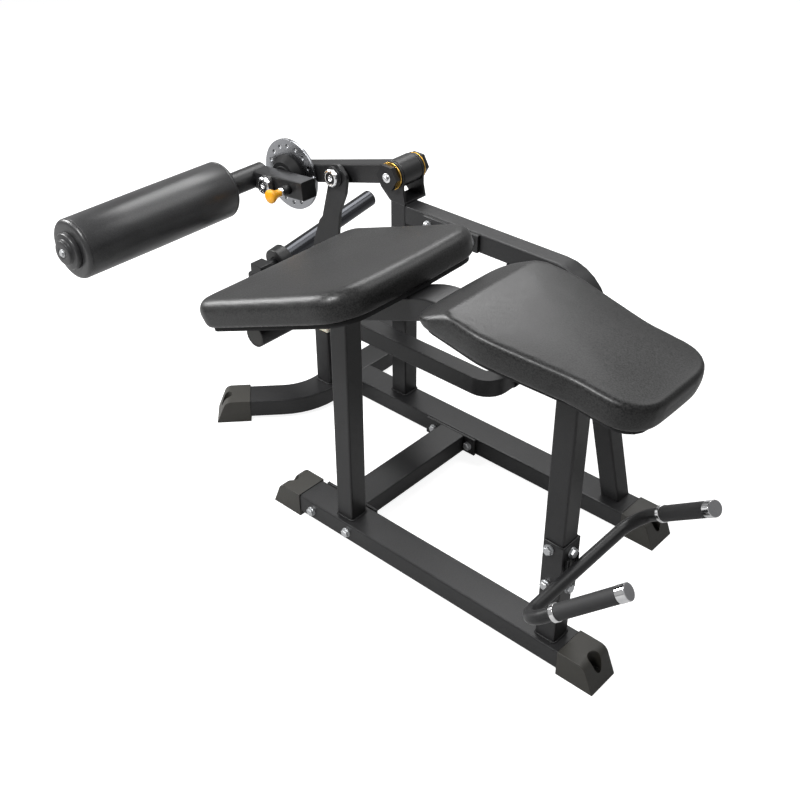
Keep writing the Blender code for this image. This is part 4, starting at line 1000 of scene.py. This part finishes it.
upright = add(
    disc_tree,
    "GeometryNodeTransform",
    {"Rotation": (math.radians(90), 0.0, 0.0), "Translation": tuple(disc_middle)},
    {"Geometry": cut.outputs[0]},
)
end_tree(disc_tree, upright.outputs[0], given.outputs["Plating"])
disc = grown(
    "index_disc_plate",
    [(0, 0, 0)],
    [],
    disc_tree,
    {
        disc_radius: 0.097,
        disc_thick: 0.008,
        disc_circle: 0.0775,
        disc_count: 16,
        disc_hole: 0.0056,
        disc_bore: 0.0083,
        disc_start: math.radians(5.5),
        disc_metal: disc_plating_painted_reflection,
    },
    body_of_node["index_disc"],
)
disc.data.shade_smooth()
rim = disc.modifiers.new("rim", "BEVEL")
rim.width = 0.0007
rim.segments = 2
rim.limit_method = "ANGLE"
rim.angle_limit = math.radians(50)
settle(disc)
for face in disc.data.polygons:
    face.use_smooth = abs(face.normal.y) < 0.99
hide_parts("index_disc")

# Hub
# A turned steel hub with a flared skirt spaces the roller lever from the disc. Its thin black coat
# is dull, and takes hardly any highlight.
low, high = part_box("disc_hub")
half = (high.y - low.y) / 2
hub_profile = [
    (0.0083, -half),
    (0.030, -half),
    (0.0315, -half + 0.0015),
    (0.042, -half + 0.0015),
    (0.054, half - 0.012),
    (0.0575, half - 0.009),
    (0.058, half - 0.0075),
    (0.058, half),
    (0.0083, half),
]
hub_black = surface("matt_black_coated_hub", "#121213", 0.0, 0.5)
hub_black.node_tree.nodes["Principled BSDF"].inputs["Specular IOR Level"].default_value = 0.15
grain(hub_black, 600.0, 0.0002, 0.1, ("#0f0f10", "#171718"), (0.46, 0.58))
hub = turned("disc_hub_turning", "disc_hub", hub_profile, along_y, hub_black, edge=0.0006)
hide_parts("disc_hub")

# Main pivot
# A chromed shaft runs through the bracket and the arm's tube, with a bearing ring, a gold anodised
# band and a black hex cap at each end. Its own nose stands out of each cap.

# Anodised aluminium keeps its metal shine under a clear, warm colour.
gold = surface("gold_anodised_aluminium", "#e0b04a", 1.0, 0.2)
grain(gold, 1200.0, 0.0001, 0.08, ("#d9a440", "#edc266"), (0.16, 0.26))
# Chrome plate is a near-perfect mirror, and shows what stands round it.
chrome = surface("bright_chrome_plate", "#dcdcdd", 1.0, 0.08)
grain(chrome, 60.0, 0.0001, 0.03, ("#d3d3d5", "#e4e4e4"), (0.05, 0.12))
# Oil-dipped black oxide is nearly black, with a low grey shine of bare steel in it.
black_oxide = surface("black_oxide_steel", "#232324", 0.6, 0.38)
grain(black_oxide, 800.0, 0.0001, 0.12, ("#1f1f20", "#2b2b2c"), (0.32, 0.46))
for end in ("near", "far"):
    node = "pivot_ring_" + end
    low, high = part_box(node)
    half = (high.y - low.y) / 2
    outward = -1.0 if end == "near" else 1.0
    band_profile = [(0.0129, half), (0.0347, half), (0.0347, half - 0.0029), (0.0129, half - 0.0029)]
    seat_profile = [(0.0129, half - 0.0030), (0.0334, half - 0.0030), (0.0334, -half), (0.0129, -half)]
    for part, profile, finish in (("band", band_profile, gold), ("seat", seat_profile, black_oxide)):
        placed = [(radius, distance * outward) for radius, distance in profile]
        ring = turned(node + "_" + part, node, placed, along_y, finish, edge=0.0006)
        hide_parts(node)
    dressed("pivot_cap_" + end, black_oxide, 0.0036, 4)
low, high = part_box("pivot_shaft")
half = (high.y - low.y) / 2
nose = [(0.0, half), (0.0026, half), (0.0034, half - 0.0011), (0.0056, half - 0.0011)]
nose += [(0.0067, half - 0.0022), (0.0067, half - 0.006), (0.0124, half - 0.006)]
shaft_profile = nose + [(radius, -distance) for radius, distance in reversed(nose)]
shaft = turned(
    "pivot_shaft_turning",
    "pivot_shaft",
    shaft_profile,
    along_y,
    chrome,
    closed=False,
    edge=0.0004,
)
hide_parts("pivot_shaft")

# Pivot bolts
# The bolts on which the index disc and the link turn: a chromed rim, a dark washer sunk in it and
# a bright stud with a round socket in its middle. All are turned from steel bar.
for node in ("index_bolt", "link_bolt"):
    low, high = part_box(node)
    half = (high.y - low.y) / 2
    rim_profile = [
        (0.0155, -half + 0.0004),
        (0.0170, -half),
        (0.0205, -half),
        (0.0230, -half + 0.0022),
        (0.0230, -half + 0.0118),
        (0.0155, -half + 0.0118),
    ]
    rim = turned(node + "_rim", node, rim_profile, along_y, chrome, edge=0.0003)
    stud_profile = [
        (0.0, half),
        (0.0079, half),
        (0.0079, -half + 0.0030),
        (0.0079, -half + 0.0010),
        (0.0066, -half + 0.0004),
        (0.0062, -half + 0.0004),
        (0.0050, -half + 0.0016),
        (0.0050, -half + 0.0070),
        (0.0, -half + 0.0075),
    ]
    stud = turned(node + "_stud", node, stud_profile, along_y, chrome, closed=False, edge=0.0002)
    well_profile = [
        (0.0080, -half + 0.0034),
        (0.0154, -half + 0.0034),
        (0.0154, -half + 0.0110),
        (0.0080, -half + 0.0110),
    ]
    well = turned(node + "_washer", node, well_profile, along_y, black_oxide)
    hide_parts(node)
    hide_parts(node)
    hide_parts(node)

# Pull pin
# A spring pin in a black barrel: a chromed pin with a collar, under a flared knob of moulded
# plastic. The plastic is a deep, warm yellow with a clean gloss.
low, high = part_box("pin_barrel")
half = (high.y - low.y) / 2
barrel_profile = [
    (0.0053, -half),
    (0.0095, -half),
    (0.0105, -half + 0.0008),
    (0.0118, -half + 0.0050),
    (0.0118, -half + 0.0085),
    (0.0130, -half + 0.0098),
    (0.0130, half),
    (0.0053, half),
]
barrel = turned("pin_barrel_turning", "pin_barrel", barrel_profile, along_y, black_oxide, edge=0.0005)
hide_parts("pin_barrel")
yellow = surface("moulded_yellow_plastic", "#e8a314", 0.0, 0.36)
grain(yellow, 300.0, 0.0001, 0.08, ("#e39b0e", "#efac20"), (0.30, 0.42))
shader = yellow.node_tree.nodes["Principled BSDF"]
shader.inputs["Subsurface Weight"].default_value = 0.06
shader.inputs["Coat Weight"].default_value = 0.2
low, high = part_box("pull_pin")
half = (high.y - low.y) / 2
knob_profile = [
    (0.0, -half),
    (0.0080, -half + 0.0003),
    (0.0135, -half + 0.0012),
    (0.0172, -half + 0.0035),
    (0.0184, -half + 0.0070),
    (0.0180, -half + 0.0105),
    (0.0160, -half + 0.0155),
    (0.0128, -half + 0.0215),
    (0.0106, -half + 0.0275),
    (0.0100, -half + 0.0330),
    (0.0098, -half + 0.0395),
    (0.0, -half + 0.0395),
]
knob = turned("pull_pin_knob", "pull_pin", knob_profile, along_y, yellow, closed=False, edge=0.0003)
pin_profile = [
    (0.0, -half + 0.0397),
    (0.0106, -half + 0.0397),
    (0.0114, -half + 0.0405),
    (0.0114, -half + 0.0462),
    (0.0106, -half + 0.0470),
    (0.0050, -half + 0.0474),
    (0.0050, half - 0.0022),
    (0.0038, half),
    (0.0, half),
]
pin = turned("pull_pin_steel", "pull_pin", pin_profile, along_y, chrome, closed=False, edge=0.0002)
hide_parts("pull_pin")
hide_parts("pull_pin")

# Plate sleeve
# A steel pipe with a dark, polished chrome finish and a rounded end, behind a coated stop collar.
# The finish mirrors the studio darkly and almost evenly, with a trace of the tube's drawing.
sleeve_metal = surface("dark_polished_chrome", "#3c3d40", 1.0, 0.22)
drawn = (1.0, 0.06, 1.0)
grain(sleeve_metal, 900.0, 0.00002, 0.01, ("#3a3b3e", "#3e3f42"), (0.20, 0.23), stretch=drawn, share=0.9)
sleeve_rise = math.radians(9.5)
sleeve_way = Vector((0.0, math.cos(sleeve_rise), math.sin(sleeve_rise)))
sleeve_root = at(-0.710, 0.380, 0.305)
sleeve_profile = [
    (0.0, 0.4100),
    (0.0173, 0.4100),
    (0.0173, 0.0903),
    (0.0243, 0.0903),
    (0.0243, 0.4490),
    (0.0238, 0.4515),
    (0.0222, 0.4535),
    (0.0190, 0.4546),
    (0.0, 0.4550),
]
sleeve = turned(
    "weight_sleeve_pipe",
    "weight_sleeve",
    sleeve_profile,
    sleeve_way,
    sleeve_metal,
    centre=sleeve_root,
    closed=False,
    edge=0.0004,
)
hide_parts("weight_sleeve")
collar_profile = [
    (0.0173, 0.0520),
    (0.0370, 0.0520),
    (0.0400, 0.0550),
    (0.0400, 0.0870),
    (0.0380, 0.0900),
    (0.0173, 0.0900),
]
collar = turned(
    "sleeve_collar_turning",
    "sleeve_collar",
    collar_profile,
    sleeve_way,
    powder,
    centre=sleeve_root,
    edge=0.0008,
)
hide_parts("sleeve_collar")
dressed("lever_shaft_collar", bolt_zinc, 0.0008)

# Handle
# One coated steel tube, bent to a wide U with raised ends. A ribbed rubber grip sits on each end,
# between a chromed collar and a chromed cap.
dressed("handle_bar", powder, 0.0004)

# Grip rubber is black and dull, and its ribs and pores keep any shine off it.
grip_rubber = surface("textured_grip_rubber", "#262627", 0.0, 0.66)
grain(grip_rubber, 1100.0, 0.0006, 0.55, ("#202021", "#303031"), (0.56, 0.76))
# The flat faces of the caps were turned before plating, which makes their chrome satin. Their
# mid-grey colour is painted reflection of a grey surround, darker than the chrome's own.
cap_face_painted_grey_reflection = surface("satin_chrome_face_painted_grey_reflection", "#8f8f91", 1.0, 0.34)
grain(cap_face_painted_grey_reflection, 900.0, 0.0001, 0.08, ("#868688", "#9a9a9c"), (0.30, 0.42))
tilt = math.radians(40.0)
toe_in = math.radians(13.2)
ribs = 44
first_rib = 0.1020
last_rib = 0.2330
cap_length = 0.2570
for name, side in (("near", -1), ("far", 1)):
    run = math.cos(tilt) * math.cos(toe_in)
    way = Vector((run, -side * math.sin(toe_in), math.sin(tilt))).normalized()
    corner = at(0.634, side * 0.207, 0.276)
    ring_profile = [
        (0.0144, 0.0892),
        (0.0172, 0.0892),
        (0.0182, 0.0902),
        (0.0182, 0.0988),
        (0.0172, 0.0996),
        (0.0144, 0.0996),
    ]
    ring = turned(
        "grip_collar_" + name + "_ring",
        "grip_collar_" + name,
        ring_profile,
        way,
        chrome,
        centre=corner,
        edge=0.0002,
    )
    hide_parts("grip_collar_" + name)
    grip_profile = [(0.0144, 0.1000), (0.0160, 0.1000), (0.0167, 0.1010)]
    for number in range(ribs + 1):
        distance = first_rib + (last_rib - first_rib) * number / ribs
        grip_profile.append((0.0168 if number % 2 == 0 else 0.0164, distance))
    grip_profile += [(0.0167, 0.2345), (0.0160, 0.2356), (0.0144, 0.2356)]
    grip = turned(
        "grip_" + name + "_sleeve",
        "grip_" + name,
        grip_profile,
        way,
        grip_rubber,
        centre=corner,
        steps=56,
    )
    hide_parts("grip_" + name)
    end_profile = [
        (0.0, 0.2543),
        (0.0143, 0.2543),
        (0.0143, 0.2360),
        (0.0165, 0.2360),
        (0.0173, 0.2368),
        (0.0173, 0.2560),
        (0.0165, 0.2569),
        (0.0150, cap_length),
        (0.0, cap_length),
    ]
    end = turned(
        "grip_end_" + name + "_cap",
        "grip_end_" + name,
        end_profile,
        way,
        chrome,
        centre=corner,
        closed=False,
        edge=0.0002,
    )
    # The flat end faces take the satin chrome with the painted grey reflection.
    end.data.materials.append(cap_face_painted_grey_reflection)
    for polygon in end.data.polygons:
        if (polygon.center - corner).dot(way) > cap_length - 0.00007:
            polygon.material_index = 1
    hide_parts("grip_end_" + name)
